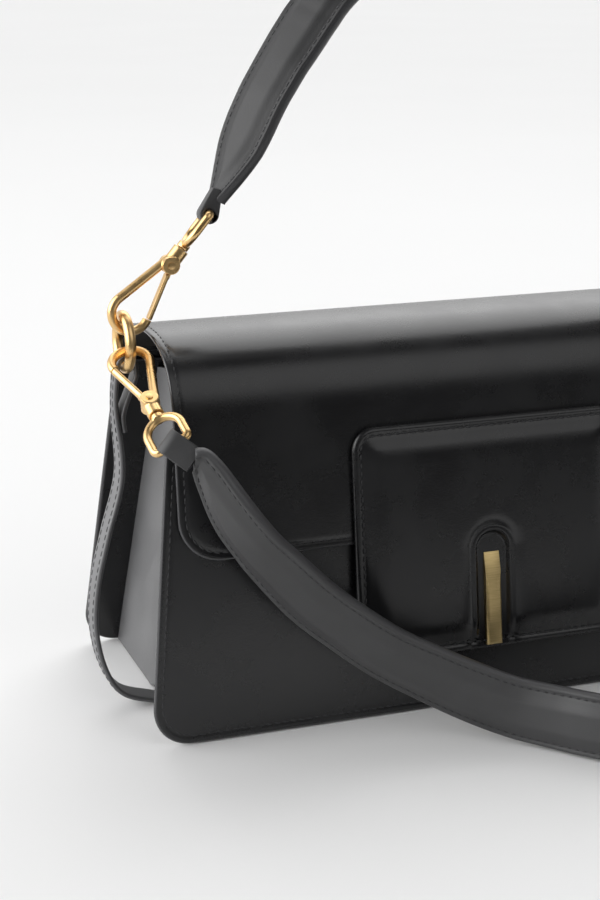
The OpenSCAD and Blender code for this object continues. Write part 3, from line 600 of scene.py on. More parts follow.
def gusset_grid():
    """The left gusset's outer face, s from -1 at the front panel to 1 at the back panel. It lies
    15 mm in from the panels' sides. Above a flat triangle with its apex at 0.55 of the height it
    folds inwards: by the pinch times the share of the height above the triangle, times the
    nearness to the middle. Both are rounded off with sqrt(v^2 + small), and the leather swells
    by a sine between its seams. The foot arches over the carrying band."""
    s = np.linspace(-1, 1, GUSSET_COLS)[None, :]
    foot = GUSSET_FOOT + BAND_ARCH * smoothstep(ARCH_HALF - np.abs(s), 0.0, ARCH_FADE)
    z = foot + (GUSSET_TOP - foot) * np.linspace(0, 1, GUSSET_ROWS)[:, None]
    near = FRONT_Y + (PANEL_T + GLUE) / math.cos(FRONT_LEAN) + z * math.tan(FRONT_LEAN)
    far = BACK_Y - (PANEL_T + GLUE) / math.cos(BACK_LEAN) - z * math.tan(BACK_LEAN)
    y = np.where(s < 0, -s * near, s * far)
    t = z / GUSSET_TOP
    soft = np.sqrt(s * s + MIDDLE_SOFT**2) - MIDDLE_SOFT + 0 * z
    start = APEX * (1 - soft)
    fold = (t - start) / np.clip(1 - start, 0.05, None)
    fold = 0.5 * (fold + np.sqrt(fold * fold + START_SOFT)) - START_DROP
    fold = PINCH * (1 - soft) * np.clip(fold, 0, None)
    swell = SWELL * np.sin(np.pi * np.clip(np.abs(s), 0, 1)) * np.sin(np.pi * np.clip(t, 0, 1))
    x = -(PANEL_W / 2 - GUSSET_INSET - z * math.tan(TAPER)) + fold - swell
    return np.stack([x, y + 0 * x, z + 0 * x], -1)


gusset_out = gusset_grid()
gusset_in = gusset_out + np.array([GUSSET_T, 0, 0])
gusset_ring = np.concatenate([gusset_out, gusset_in[:, ::-1]], 1)
# The gussets use the lighter grey copy of the black leather, painted light from the left
for side, ring in (("left", gusset_ring), ("right", gusset_ring * FLIP)):
    piece(
        "gusset_leather_" + side, ring, folded_faces(GUSSET_ROWS, GUSSET_COLS), GUSSET_LEATHER_PAINTED_LIT,
        "bag", ["gusset_" + side],
    )


def even(half):
    """The half width of a sheet with upright sides."""
    return lambda h: np.full_like(h, half)


def flat_face(x, h, edge):
    """A face that stands proud nowhere."""
    return 0 * x


def base_sheet(node, mat):
    """A level sheet with round edges that fills a CAD node's box."""
    low, high = (np.array(c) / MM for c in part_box(node))

    def place(x, y, d):
        """A place at (x, y), d down from the sheet's top."""
        return np.stack([x, y, low[2] + (high[2] - low[2]) - d], -1)

    sheet(
        node + "_sheet", even((high[0] - low[0]) / 2), (low[1], high[1], 1.0, 1.0), place,
        high[2] - low[2], flat_face, mat, "bag", [node],
    )


base_sheet("base_panel", BODY_LEATHER)
base_sheet("base_board", BOARD)


def seamed_face(line, width, depth):
    """A face that is flat but for the valley of its seam."""
    return lambda x, h, edge: seam_dip(edge, line, width, depth)


def lining(name, place, node, low, high, half_low, half_high, depth, t, corner=1.0):
    """A lining sheet glued inside a panel at a depth."""

    def half(h):
        """The half width at height h, on a straight line from half_low to half_high."""
        return half_low + (half_high - half_low) * (h - low) / (high - low)

    def seat(x, h, d):
        """A place on the panel, moved in by the depth."""
        return place(x, h, depth + d)

    sheet(
        name, half, (low, high, corner, corner), seat, t, seamed_face(2.2, 0.6, 0.1), SUEDE,
        "bag", [node],
    )


for side, place in (("front", on_front), ("back", on_back)):
    lining(side + "_lining_suede", place, "lining_" + side, 6.8, 122.0, 117.0, 105.6, 2.5, 0.8)
lining("pocket_suede", on_back, "slip_pocket", 42.0, 112.0, 70.0, 70.0, 3.4, 1.0, 6.0)

HEM_TOP = 127.3 / math.cos(BACK_LEAN)
HEM_LOW, HEM_CORNER, HEM_PROUD = HEM_TOP - 22.0, 8.0, 2.3
FLAP_SEAM = 3.0
sheet(
    "flap_hem_leather", even(FLAP_HALF), (HEM_LOW, HEM_TOP, HEM_CORNER, 1.0),
    lambda x, h, d: on_back(x, h, d - HEM_PROUD), FLAP_T, seamed_face(FLAP_SEAM, 0.8, 0.2),
    BODY_LEATHER, "bag", ["flap_hem"],
)
hem_seam = u_path(even(FLAP_HALF), HEM_LOW, HEM_TOP - HEM_CORNER, HEM_CORNER, FLAP_SEAM)
hem_row = seat_path(hem_seam, on_back, STITCH_DEPTH - HEM_PROUD)
stitching("hem_stitches", [stitch_row(hem_row, BACK_OUT)], "bag")


# Flap


HINGE_Z, BACK_RISE, BACK_REACH, BACK_POWER = 127.06, 18.6, 40.0, 2 / 2.1
SHOULDER_Z, FRONT_RISE, FRONT_REACH, FRONT_POWER = 118.5, 27.16, 34.65, 2 / 2.6
CROWN_BACK_Y, CROWN_FRONT_Y = 9.1, 2.7


def flap_profile():
    """The flap's outer line in (y, z): up from the hinge at the back, over a crown that is
    squarer at the front, and down the leaning front. Each half of the crown is a superellipse,
    reach cos^p across and rise sin^p up, that leans as its panel does. Also the line's length."""
    a = np.linspace(0, math.pi / 2, 40)
    back_z = HINGE_Z + BACK_RISE * np.sin(a) ** BACK_POWER
    back_y = CROWN_BACK_Y + BACK_REACH * np.cos(a) ** BACK_POWER
    back_y = back_y - (back_z - HINGE_Z) * math.tan(BACK_LEAN)
    b = np.linspace(math.pi / 2, 0, 60)[1:]
    front_z = SHOULDER_Z + FRONT_RISE * np.sin(b) ** FRONT_POWER
    front_y = CROWN_FRONT_Y - FRONT_REACH * np.cos(b) ** FRONT_POWER
    front_y = front_y + (front_z - SHOULDER_Z) * math.tan(FRONT_LEAN)
    foot_z = PANEL_T * math.sin(FRONT_LEAN) + FLAP_LOW * math.cos(FRONT_LEAN)
    low_z = np.linspace(SHOULDER_Z, foot_z, 30)[1:]
    low_y = CROWN_FRONT_Y - FRONT_REACH + (low_z - SHOULDER_Z) * math.tan(FRONT_LEAN)
    y, z = np.concatenate([back_y, front_y, low_y]), np.concatenate([back_z, front_z, low_z])
    line = np.stack([y, z], 1)
    run = run_along(line)
    evenly = np.linspace(0, run[-1], 400)
    return np.stack([np.interp(evenly, run, line[:, k]) for k in (0, 1)], 1), run[-1]


FLAP_LINE, FLAP_LEN = flap_profile()
FLAP_RUN = np.linspace(0, FLAP_LEN, len(FLAP_LINE))
FLAP_WAY = along(FLAP_LINE)


def on_flap(x, h, d):
    """A place on the flap: h measured up from its front edge along the leather, d inwards."""
    s = FLAP_LEN - h
    y, z = (np.interp(s, FLAP_RUN, FLAP_LINE[:, k]) for k in (0, 1))
    wy, wz = (np.interp(s, FLAP_RUN, FLAP_WAY[:, k]) for k in (0, 1))
    return np.stack([x + 0 * y, y - d * wz, z + d * wy], -1)


FLAP_CORNER, FLAP_LEATHER_T, LINING_INSET, FLAP_LINING_T = 16.0, 1.6, 1.5, 0.55
LINING_DEPTH = FLAP_LEATHER_T + 0.02
sheet(
    "flap_leather", even(FLAP_HALF), (0.0, FLAP_LEN, FLAP_CORNER, 1.0), on_flap, FLAP_LEATHER_T,
    seamed_face(FLAP_SEAM, 0.8, 0.2), BODY_LEATHER, "flap", ["flap"],
)
sheet(
    "flap_lining_suede", even(FLAP_HALF - LINING_INSET),
    (LINING_INSET, FLAP_LEN - 2 * LINING_INSET, FLAP_CORNER - LINING_INSET, 1.0),
    lambda x, h, d: on_flap(x, h, LINING_DEPTH + d), FLAP_LINING_T, flat_face, SUEDE,
    "flap", ["flap_lining"],
)
flap_seam = u_path(even(FLAP_HALF), 0.0, FLAP_LEN - FLAP_SEAM, FLAP_CORNER, FLAP_SEAM)
flap_row = seat_path(flap_seam, on_flap, STITCH_DEPTH)
flap_out = unit(seat_path(flap_seam, on_flap, STITCH_DEPTH - 1) - flap_row)
stitching("flap_stitches", [stitch_row(flap_row, flap_out)], "flap")


# Tab and bar

TAB_BACK = -(FLAP_GAP + FLAP_T + 0.1)
NOTCH_TOP, NOTCH_HALF, NOTCH_DEPTH, NOTCH_WALL = 61.0, 6.15, 0.6, (-0.6, 1.4)
LIP_LINE, LIP_SINK, LIP_REACH = 3.0, 0.9, (1.0, 7.0)
TAB_T, TAB_CORNER, TAB_SEAM, TAB_CROWN, TAB_RIM = 2.6, 9.0, 3.2, 1.9, 0.35


def notch_gap(x, h):
    """Distance outside the notch: a slot round the bar, with a round top, open below."""
    return np.where(h < NOTCH_TOP, np.abs(x), np.hypot(x, h - NOTCH_TOP)) - NOTCH_HALF


def tab_face(x, h, edge):
    """The tab's padding: flat to the stitch line, then a smooth rise to a broad crown. Round the
    bar the notch is pressed in, with a valley round it and the crown lowered towards it."""
    out = notch_gap(x, h)
    crown = TAB_CROWN * smoothstep(edge, 3.0, 11.0)
    rim = TAB_RIM * smoothstep(edge, 0.0, 1.6)
    body = rim + crown + seam_dip(edge, TAB_SEAM, 0.9, 0.45)
    press = smoothstep(out, *NOTCH_WALL)
    lip = seam_dip(out, LIP_LINE, 0.9, 0.25) - LIP_SINK * (1 - smoothstep(out, *LIP_REACH))
    return (body + lip) * press - NOTCH_DEPTH * (1 - press)


def tab_points():
    """The padded tab on its own finer grid, so that the notch is crisp: places across, heights and
    distances from the edge. Columns within 12 mm of the middle stay upright."""
    fine = np.array(EDGE_STEPS)
    low, high = TAB_LOW, TAB_HIGH
    x = np.concatenate([spread_from_edge(TAB_HALF, fine, 45), np.linspace(-10, 10, 81)])
    x = np.unique(x)
    h = np.concatenate([
        low + fine, np.arange(low + 14, high - 14, 1.5), (high - fine)[::-1],
        corner_rows(low, 1, TAB_CORNER, 14), corner_rows(high, -1, TAB_CORNER, 14),
        np.linspace(NOTCH_TOP - 2, NOTCH_TOP + 10, 30),
    ])
    h = np.unique(h)
    half = TAB_HALF - drawn_in(np.minimum(h - low, high - h), TAB_CORNER)
    wide = half[:, None] * (x / TAB_HALF)[None, :]
    inner = np.abs(x) < 12
    wide[:, inner] = x[inner][None, :]
    level = np.repeat(h[:, None], len(x), 1)
    side, ends = TAB_HALF - np.abs(wide), np.minimum(level - low, high - level)
    edge = corner_edge(np.minimum(side, ends), side, ends, TAB_CORNER)
    return wide, level, np.clip(edge, 0, None)


def tab_leather():
    """The tab: its face and its back meet in a round edge, and the face carries the padding."""
    x, h, edge = tab_points()
    full = rounded_edge(edge, TAB_T / 2)
    outer = TAB_BACK - TAB_T / 2 - TAB_T / 2 * full - tab_face(x, h, edge) * rounded_edge(edge, 2.5)
    rear = TAB_BACK - TAB_T / 2 + TAB_T / 2 * full
    ring = np.concatenate([on_front(x, h, outer), on_front(x, h, rear)[:, ::-1]], 1)
    tab = piece(
        "tab_leather", ring, folded_faces(*x.shape), BODY_LEATHER, "flap",
        ["tab_pad", "tab_backing"], join=1e-5,
    )


def tab_stitching():
    """A row of stitches all round the tab: a U over the sides and foot, and one over the top."""
    around = u_path(even(TAB_HALF), TAB_LOW, TAB_HIGH - TAB_CORNER, TAB_CORNER, TAB_SEAM)
    turn = np.linspace(0, math.pi / 2, 12)
    r = TAB_CORNER - TAB_SEAM
    corner_x = TAB_HALF - TAB_CORNER + r * np.cos(turn)
    corner_h = TAB_HIGH - TAB_CORNER + r * np.sin(turn)
    right, left = np.stack([corner_x, corner_h], 1), np.stack([-corner_x, corner_h], 1)[::-1]
    depth = TAB_BACK - TAB_T - 0.05
    rows = [seat_path(flat, on_front, depth) for flat in (around, np.concatenate([right, left]))]
    stitching("tab_stitches", [stitch_row(row, FRONT_OUT, height=0.34) for row in rows], "flap")


tab_leather()
tab_stitching()


FLAT_WITHIN, BEVEL_FROM, METAL_SHARP = math.radians(1.0), math.radians(25), math.radians(50)


def refined(node, name, mat, body, voxel=None, bevel=None, relax=0):
    """A CAD node's shape with softened edges. Its points are joined, and it is either remeshed in
    voxels of that many millimetres and relaxed, for a cast look, or given a small bevel."""
    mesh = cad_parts[node].data.copy()
    mesh.name = name
    work = bmesh.new()
    work.from_mesh(mesh)
    bmesh.ops.remove_doubles(work, verts=work.verts, dist=1e-6)
    bmesh.ops.dissolve_limit(work, angle_limit=FLAT_WITHIN, verts=work.verts, edges=work.edges)
    work.to_mesh(mesh)
    work.free()
    mesh.materials.clear()
    mesh.materials.append(mat)
    obj = bpy.data.objects.new(name, mesh)
    bpy.context.collection.objects.link(obj)
    if voxel:
        remesh = obj.modifiers.new("cast", "REMESH")
        remesh.mode, remesh.voxel_size = "VOXEL", voxel * MM
    if relax:
        smooth = obj.modifiers.new("polish", "SMOOTH")
        smooth.factor, smooth.iterations = 0.5, relax
    if bevel:
        cut = obj.modifiers.new("bevel", "BEVEL")
        cut.width, cut.segments = bevel * MM, 3
        cut.limit_method, cut.angle_limit = "ANGLE", BEVEL_FROM
    depsgraph = bpy.context.evaluated_depsgraph_get()
    done = bpy.data.meshes.new_from_object(obj.evaluated_get(depsgraph))
    obj.modifiers.clear()
    obj.data = done
    done.shade_smooth()
    done.set_sharp_from_angle(angle=METAL_SHARP)
    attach(obj, body)
    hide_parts(node)


refined("bar", "closure_bar", BRUSHED_GOLD, "flap", bevel=0.22)


# Rings and carrying band


def ring_wire(name, centre, node):
    """A torus: a circle of wire carried round the ring's centre line in the YZ plane."""
    a = np.linspace(0, 2 * math.pi, RING_STEPS, endpoint=False)[:, None]
    b = np.linspace(0, 2 * math.pi, WIRE_STEPS, endpoint=False)[None, :]
    r = RING_R + WIRE_R * np.cos(b)
    points = np.stack([WIRE_R * np.sin(b) + 0 * a, r * np.cos(a), r * np.sin(a)], -1) + centre
    faces = grid_faces(RING_STEPS, WIRE_STEPS, True, True)
    piece(name, points, faces, SATIN_GOLD, node, [node])


ring_wire("ring_wire_left", RING, "ring_left")
ring_wire("ring_wire_right", RING * FLIP, "ring_right")

FOLD, FOLD_R = np.array([-130.5, 0.0, 133.66]), 3.4
BAND_TAIL = [[-1.7, 0, -24], [-1.9, 0, -18], [1, 0, -10], [FOLD_R, 0, -4], [FOLD_R, 0, 0]]
BAND_BOW = [
    [-134.9, 0, 118.6], [-133.6, 0, 93], [-139.5, 0, 70], [-143.9, 0, 51.6], [-145.3, 0, 34.3],
    [-142.3, 0, 17.6], [-135.5, 0, 6.3], [-121.5, 0, 1.0],
]
BAND_UNDER = [[-121.5, 0, 1.0], [-105, 0, 0.95], [-60, 0, 0.95], [0, 0, 0.95]]
BAND_HALF, BAND_NECK_HALF, BAND_HALF_T, BAND_EDGE, BAND_SEAM = 5.5, 3.6, 0.95, 0.9, 2.2
BAND_STITCH_RISE, BAND_UNSEWN = 0.9, 14


def band_line():
    """The carrying band's middle line: its sewn tail, half a circle over the ring's wire, the bow
    down outside the gusset, and under the base to the middle. The right half mirrors it."""
    a = np.linspace(0, math.pi, 24)
    over = np.stack([FOLD[0] + FOLD_R * np.cos(a), 0 * a, FOLD[2] + FOLD_R * np.sin(a)], 1)
    left = np.concatenate([
        curve(FOLD + BAND_TAIL, 8)[:-1],
        over[:-1],
        curve([FOLD + [-FOLD_R, 0, 0]] + BAND_BOW, 14)[:-1],
        curve(BAND_UNDER, 6),
    ])
    return np.concatenate([left, (left * FLIP)[::-1][1:]])


def band_section(half):
    """The band's cross-section: a flat oval with elliptical edges and two seam valleys on top."""
    t, e = BAND_HALF_T, BAND_EDGE
    a = np.linspace(-math.pi / 2, math.pi / 2, 9)
    right = np.stack([half - e + e * np.cos(a), t * np.sin(a)], 1)
    top = np.stack([np.linspace(half - e, e - half, 9)[1:-1], np.full(7, t)], 1)
    top[:, 1] += seam_dip(half - np.abs(top[:, 0]), BAND_SEAM, 0.6, 0.12)
    bottom = np.stack([np.linspace(e - half, half - e, 9)[1:-1], np.full(7, -t)], 1)
    return np.concatenate([right, top, -right, bottom])


band = band_line()
across = np.tile([0.0, 1.0, 0.0], (len(band), 1))
out = unit(np.cross(along(band), across))
if out[len(out) // 2, 2] > 0:
    out = -out
band_half = BAND_HALF - (BAND_HALF - BAND_NECK_HALF) * smoothstep(band[:, 2], 105.0, 123.0)
# The band uses the lighter grey copy of the black leather, painted light from the left
swept(
    "carry_band_leather", band, across, out, band_half, band_section, BAND_LEATHER_PAINTED_LIT,
    "bag", ["carry_band"],
)
band_rows = []
for sign in (-1, 1):
    line = band + out * BAND_STITCH_RISE + across * (sign * (band_half - BAND_SEAM))[:, None]
    band_rows.append(stitch_row(line[BAND_UNSEWN:-BAND_UNSEWN], out[BAND_UNSEWN:-BAND_UNSEWN]))
stitching("band_stitches", band_rows, "bag")


# Straps

STRAP_RIM, STRAP_CROWN, STRAP_BACK = 2.2, 1.7, 0.6
STRAP_EDGE_R, STRAP_SEAM, STRAP_CROWN_HALF = 1.3, 2.5, 10.0
STRAP_NECK_HALF, STRAP_HALF, STRAP_NECK_RUN = 4.6, 12.5, 33.0


def strap_section(half):
    """A padded strap's cross-section in millimetres. Between its stitch lines the face rises to a
    round crown; the rims outside them are flat, and the back is nearly flat."""
    crown = STRAP_CROWN * min(1.0, half / STRAP_CROWN_HALF)
    f = np.linspace(-1, 1, 49)
    x = np.sign(f) * (1 - (1 - np.abs(f)) ** 1.35) * half
    edge = half - np.abs(x)
    face = STRAP_RIM * rounded_edge(edge, STRAP_EDGE_R) + crown * smoothstep(edge, 2.6, 8.5)
    face = face + seam_dip(edge, STRAP_SEAM, 0.7, 0.3)
    g = np.linspace(1, -1, 25)[1:-1]
    back_x = np.sign(g) * (1 - (1 - np.abs(g)) ** 1.3) * half
    edge = half - np.abs(back_x)
    rear = -STRAP_RIM * rounded_edge(edge, STRAP_EDGE_R) - STRAP_BACK * smoothstep(edge, 2.6, 8.0)
    return np.concatenate([np.stack([x, face], 1), np.stack([back_x, rear], 1)])


def strap_width(run, total):
    """Half width by the distance s from the nearer end: neck + (full - neck) sin(pi/2 s/run)^1.1."""
    s = np.clip(np.minimum(run, total - run) / STRAP_NECK_RUN, 0, 1)
    return STRAP_NECK_HALF + (STRAP_HALF - STRAP_NECK_HALF) * np.sin(math.pi / 2 * s) ** 1.1


def padded_strap(strap, stations, steps, mat, face_sign):
    """A strap through stations of [middle, width direction], with its two rows of stitches. The
    face looks along face_sign times run x width."""
    name = strap + "_strap_leather"
    middle, wide = (curve([row[k] for row in stations], steps) for k in (0, 1))
    way = along(middle)
    across = unit(wide)
    across = unit(across - (across * way).sum(1)[:, None] * way)
    out = unit(np.cross(way, across)) * face_sign
    run = run_along(middle)
    half = strap_width(run, run[-1])
    obj = swept(
        name, middle, across, out, half, strap_section, mat, strap,
        [strap + "_strap", strap + "_lining"],
    )
    rows = []
    for sign in (-1, 1):
        line = middle + across * (sign * (half - STRAP_SEAM))[:, None] + out * (STRAP_RIM - 0.28)
        rows.append(stitch_row(line, out, pitch=3.0, length=2.1, height=0.3, clear=3.0))
    stitching(name + "_stitches", rows, strap)


LOOP_HALF, LOOP_INNER, LOOP_PLY, LOOP_LENGTH = 4.6, 1.85, 1.75, 9.6
LOOP_ROUND, LOOP_EDGE = 40, 0.5


def end_loop(strap, side, bar, way, across):
    """A strap's end loop: a ply that goes round the eye's bar and closes behind it. Its outline is a drop,
    an arc round the bar with two points at the seam, carried along the bar and drawn in at both
    edges, with a round hole for the bar."""
    way, across = unit(way), unit(across - np.dot(across, unit(way)) * unit(way))
    up = np.cross(across, way)
    r = LOOP_INNER + LOOP_PLY
    lean = math.acos(LOOP_INNER / LOOP_LENGTH)
    a = np.linspace(lean, 2 * math.pi - lean, LOOP_ROUND)
    drop = np.concatenate([
        np.stack([r * np.cos(a), r * np.sin(a)], 1),
        [[LOOP_LENGTH, -LOOP_PLY], [LOOP_LENGTH, LOOP_PLY]],
    ])
    b = np.linspace(0, 2 * math.pi, len(drop), endpoint=False) + lean
    hole = np.stack([LOOP_INNER * np.cos(b), LOOP_INNER * np.sin(b)], 1)
    bevel = [LOOP_EDGE, 0.15, 0.0]
    drawn = bevel + bevel[::-1]
    depth = [-LOOP_HALF + step for step in (0, 0.15, LOOP_EDGE)]
    depth = depth + [-y for y in depth[::-1]]
    outside = [drop - d * unit(drop - drop.mean(0)) for d in drawn]
    inside = [hole * (1 + d / LOOP_INNER) for d in drawn[::-1]]
    stack = zip(outside + inside, depth + depth[::-1])
    points = np.stack([bar + o[:, :1] * way + o[:, 1:] * up + y * across for o, y in stack])
    faces = grid_faces(*points.shape[:2], True, True)
    # The end loops use the shoulder strap's lighter grey copy of the black leather, painted light
    piece(
        f"{strap}_loop_leather_{side}", points, faces, STRAP_LEATHER_PAINTED_LIT, strap,
        [f"{strap}_loop_{side}"],
    )


def bar_way(up, n, degrees):
    """The way an eye's bar runs, square to the swivel's axis up: turned from n x up towards n."""
    a = math.radians(degrees)
    return math.cos(a) * np.cross(n, up) + math.sin(a) * n


def square_to(v, d):
    """The unit direction of v less its share along d."""
    v, d = np.asarray(v, float), unit(d)
    return unit(v - (v @ d) * d)


def seen(stations):
    """Stations read from the photograph, as [middle, width direction]. Each gives the strap's
    middle, its width direction e as seen, and the turn psi of its face from square to the line
    of sight: the width runs along e cos psi - sight sin psi."""
    rows = []
    for middle, e, turn in stations:
        psi = math.radians(turn)
        rows.append([middle, unit(e) * math.cos(psi) - SIGHT * math.sin(psi)])
    return rows


HANDLE_END = np.array([-97.93, 0.0, 187.70])
HANDLE_UP = np.array([math.sin(math.radians(40)), 0, math.cos(math.radians(40))])
HANDLE_SEEN = [
    [(-94.7, 0, 192.4), (0.81, -0.42, -0.41), 60],
    [(-91.7, 0, 198), (0.81, -0.42, -0.41), 50],
    [(-88.8, 0, 203.7), (0.81, -0.42, -0.41), 45],
    [(-85.6, 0, 210.2), (0.81, -0.42, -0.41), 42],
    [(-82.4, 0, 217.1), (0.81, -0.42, -0.41), 43],
    [(-79.3, 0, 223.6), (0.81, -0.42, -0.41), 43],
    [(-76, 0, 229.9), (0.8, -0.42, -0.44), 42],
    [(-72.7, 0, 235.3), (0.77, -0.42, -0.47), 41],
    [(-69.1, 0, 241), (0.76, -0.43, -0.49), 40],
    [(-65.4, 0, 246.4), (0.74, -0.43, -0.52), 38],
    [(-61.6, 0, 251.8), (0.74, -0.43, -0.52), 37],
    [(-57.5, 0, 257.4), (0.73, -0.43, -0.53), 37],
    [(-50.0, 0, 266.0), (0.7, -0.43, -0.57), 39],
]
HANDLE_FAR = [
    [(-30, 0, 280.5), (-0.03, -1, -0.3)],
    [(-6, 0, 288), (0, -1, -0.1)],
    [(24, 0, 290), (0.02, -1, 0)],
    [(62.3, 0, 283), (0.04, -1, 0.04)],
    [(92.3, 0, 258.5), (0.06, -1, 0.06)],
    [(107.3, 0, 225.7), (0.1, -1, 0.04)],
]


def handle():
    """The upright strap: an arch over the bag from the left end loop to the right one."""
    bar = bar_way(HANDLE_UP, np.array([0, -1.0, 0]), 78)
    far_end, far_bar = HANDLE_END * FLIP, bar * FLIP
    leave = square_to([4.9, 0, 12.2], bar)
    arrive = square_to([8.2, 0, 12.5], far_bar)
    last = [[far_end + reach * arrive, far_bar] for reach in (14, 8.5)]
    padded_strap("handle", seen(HANDLE_SEEN) + HANDLE_FAR + last, 16, HANDLE_LEATHER, -1.0)
    end_loop("handle", "left", HANDLE_END, leave, bar)
    end_loop("handle", "right", far_end, arrive, far_bar)


SHOULDER_END = np.array([-127.61, -51.88, 117.13])
SHOULDER_UP, SHOULDER_SIDE = unit([0.09, -0.897, -0.436]), [0.98, 0.01, 0.186]
SHOULDER_LEAVE = unit([0.667, -0.538, -0.516])
SHOULDER_SEEN = [
    [(-118.9, -57.5, 112), (0.58, 0.03, 0.8), 37],
    [(-116.5, -58.5, 108.5), (0.709, -0.039, 0.701), 43],
    [(-113.2, -59.3, 102), (0.78, -0.1, 0.6), 50],
    [(-109.3, -60, 94.4), (0.85, -0.15, 0.5), 52],
    [(-104.9, -60.5, 86.9), (0.82, -0.12, 0.56), 52],
    [(-100.1, -61, 80.2), (0.78, -0.09, 0.63), 51],
    [(-94.3, -61.5, 73.2), (0.75, -0.07, 0.65), 47],
    [(-80.2, -62, 57.6), (0.48, 0.09, 0.87), 43],
    [(-67.5, -64, 46.7), (0.46, 0.1, 0.88), 41],
    [(-52.9, -67, 35.8), (0.44, 0.12, 0.89), 38],
    [(-37.5, -71, 27.1), (0.39, 0.14, 0.91), 33],
    [(-23.4, -76, 20.0), (0.36, 0.15, 0.92), 28],
    [(-9.7, -83, 14.8), (0.31, 0.18, 0.94), 25],
    [(2.3, -93, 13.2), (0.25, 0.2, 0.95), 22],
    [(12.8, -105, 13.2), (0.21, 0.22, 0.95), 20],
]
SHOULDER_FAR = [
    [(26, -117, 13.2), (0.05, 0.05, 1)],
    [(44, -129, 13.2), (0, 0, 1)],
    [(66, -136, 13.2), (-0.04, -0.04, 1)],
    [(90, -136, 14.2), (-0.1, -0.04, 0.98)],
    [(111, -126, 20.2), (-0.3, 0.1, 0.9)],
    [(124, -108, 34), (-0.6, 0.3, 0.7)],
    [(130, -88, 55), (-0.85, 0.3, 0.4)],
    [(131, -71, 78), (-0.95, 0.15, 0.12)],
    [(129.3, -61, 100), (-0.95, 0.02, -0.25)],
]


def shoulder_strap():
    """The draped strap: down from the left end loop across the front, along the floor before the
    bag, and up to the right end loop."""
    bar = bar_way(SHOULDER_UP, unit(np.cross(SHOULDER_UP, SHOULDER_SIDE)), 21.5)
    far_end, far_bar = SHOULDER_END * FLIP, -bar * FLIP
    arrive = square_to([1.7, -9, -17], far_bar)
    first = [[SHOULDER_END + 9.5 * SHOULDER_LEAVE, (0.458, 0.107, 0.883), 34]]
    last = [[far_end + reach * arrive, far_bar] for reach in (13, 9)]
    stations = seen(first + SHOULDER_SEEN) + SHOULDER_FAR + last
    # The shoulder strap uses a lighter grey copy of the black leather, painted light from the left
    padded_strap("shoulder", stations, 14, STRAP_LEATHER_PAINTED_LIT, 1.0)
    end_loop("shoulder", "left", SHOULDER_END, SHOULDER_LEAVE, bar)
    end_loop("shoulder", "right", far_end, arrive, far_bar)


handle()
shoulder_strap()


# Snap hooks and hidden steel

for strap in ("handle", "shoulder"):
    for side in ("left", "right"):
        hook, eye, gate, screw = (f"{strap}_{kind}_{side}" for kind in ("hook", "eye", "gate", "screw"))
        refined(hook, hook + "_cast", SATIN_GOLD, hook, voxel=0.22, relax=3)
        refined(eye, eye + "_cast", SATIN_GOLD, strap, voxel=0.22, relax=3)
        refined(gate, gate + "_cast", SATIN_GOLD, gate, voxel=0.2, relax=2)
        refined(screw, screw + "_turned", SATIN_GOLD, hook, bevel=0.12)

for hidden in ("upper_magnet", "lower_magnet", "bar_washers"):
    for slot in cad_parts[hidden].material_slots:
        slot.material = PLAIN_STEEL


# Room, light and camera

def floor_look(paint):
    """A pale table top whose colour falls off to dark grey well in front of the bag. This is painted shade
    for the dark room in front, which the leather's front faces reflect.
    """
    at = paint.where()
    front = Tone(paint, paint.node("SeparateXYZ", {0: at}).outputs["Y"]).ramp(-0.75, -0.22)
    cloud = paint.noise(at, 3.0, 2.0, 0.5)
    pale = paint.mixed(cloud, (0.86, 0.86, 0.86), (0.88, 0.88, 0.88))
    return [paint.mixed(front, (0.07, 0.07, 0.07), pale)]


FLOOR_X, FLOOR_Y, FLOOR_Z = (-12, 16), (-4, 24), -0.0002
floor_corners = [(FLOOR_X[i], FLOOR_Y[j], FLOOR_Z) for i, j in ((0, 0), (1, 0), (1, 1), (0, 1))]
floor_mesh = bpy.data.meshes.new("floor")
floor_mesh.from_pydata(floor_corners, [], [(0, 1, 2, 3)])
PALE_FLOOR = material("pale_floor", {"Roughness": 0.7, "Specular IOR Level": 0.0}, floor_look)
floor_mesh.materials.append(PALE_FLOOR)
floor = bpy.data.objects.new("floor", floor_mesh)
bpy.context.collection.objects.link(floor)

world = bpy.data.worlds.new("studio")
world.use_nodes = True
bpy.context.scene.world = world
sky = Paint(world.node_tree)
way_in = Tone(sky, sky.node("TexCoord").outputs["Generated"])


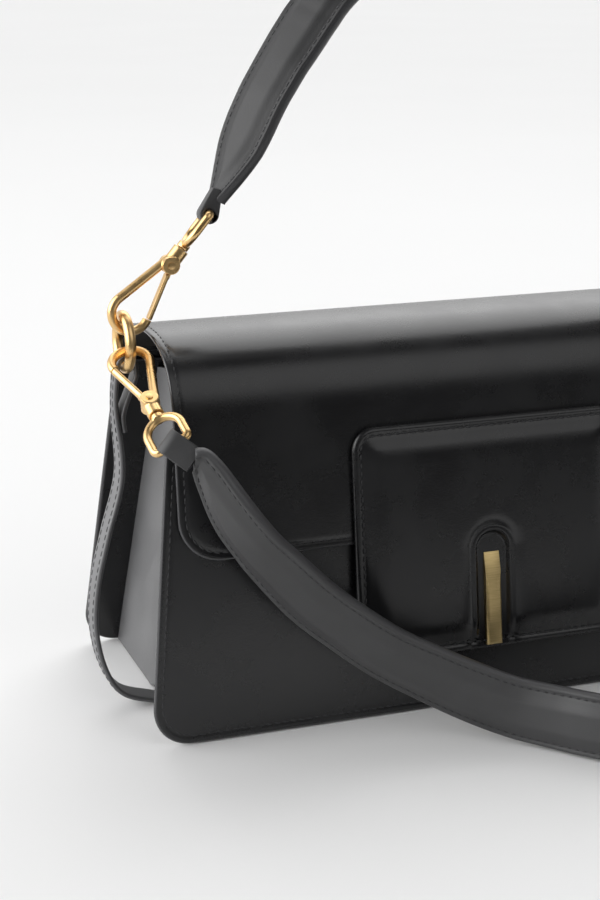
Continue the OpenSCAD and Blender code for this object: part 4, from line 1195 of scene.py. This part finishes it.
def glow(towards, low, high, strength):
    """A soft patch of the sky round a direction: it fades in where the cosine of the angle to the
    direction goes from low to high."""
    aim = sky.node("VectorMath", {0: way_in, 1: unit(towards).tolist()}, operation="DOT_PRODUCT")
    return Tone(sky, aim.outputs["Value"]).ramp(low, high, 0.0, strength)


horizon = glow((0.25, 0.95, 0.12), 0.4, 0.9, 0.7)
back_box = glow((0.3, 0.62, 0.72), 0.74, 0.95, 1.5)
left_box = glow((-0.95, 0.12, 0.2), 0.6, 0.95, 3.6)
front_box = glow((0.33, -0.68, 0.65), 0.84, 0.97, 0.9)
bright = horizon + back_box + left_box + front_box + 0.1
background = sky.node("Background", {"Color": bright, "Strength": 1.0})
sky.tree.links.new(background.outputs[0], sky.node("OutputWorld").inputs[0])


def stand(obj, at, ahead, right):
    """Puts a light or the camera in the room at a place in metres, looking ahead."""
    up = np.cross(right, ahead)
    rows = [[right[k], up[k], -ahead[k], at[k]] for k in range(3)]
    obj.matrix_world = Matrix(rows + [[0, 0, 0, 1]])
    bpy.context.collection.objects.link(obj)


def area_light(name, at, to, size, power):
    """A soft box at a place in metres, turned to look at a point."""
    light = bpy.data.lights.new(name, "AREA")
    light.shape, light.size, light.size_y = "RECTANGLE", size[0], size[1]
    light.energy = power
    aim = unit(np.array(to) - np.array(at))
    stand(bpy.data.objects.new(name, light), at, aim, unit(np.cross(aim, [0, 0, 1.0])))


area_light("left_light", (-1.5, -0.1, 0.7), (0, 0, 0.08), (1.4, 1.4), 3)
area_light("back_light", (0.2, 0.9, 1.7), (0, 0, 0.1), (2.0, 1.2), 3)

camera = bpy.data.cameras.new("camera")
camera.sensor_fit, camera.sensor_width, camera.lens = "AUTO", SENSOR, FOCAL_PX / LONG_SIDE_PX * SENSOR
camera.clip_start, camera.clip_end = 0.01, 100.0
eye = bpy.data.objects.new("camera", camera)
stand(eye, CAMERA_AT, SIGHT, np.array([math.cos(CAMERA_YAW), -math.sin(CAMERA_YAW), 0.0]))
bpy.context.scene.camera = eye
bpy.context.scene.view_settings.view_transform = "Standard"
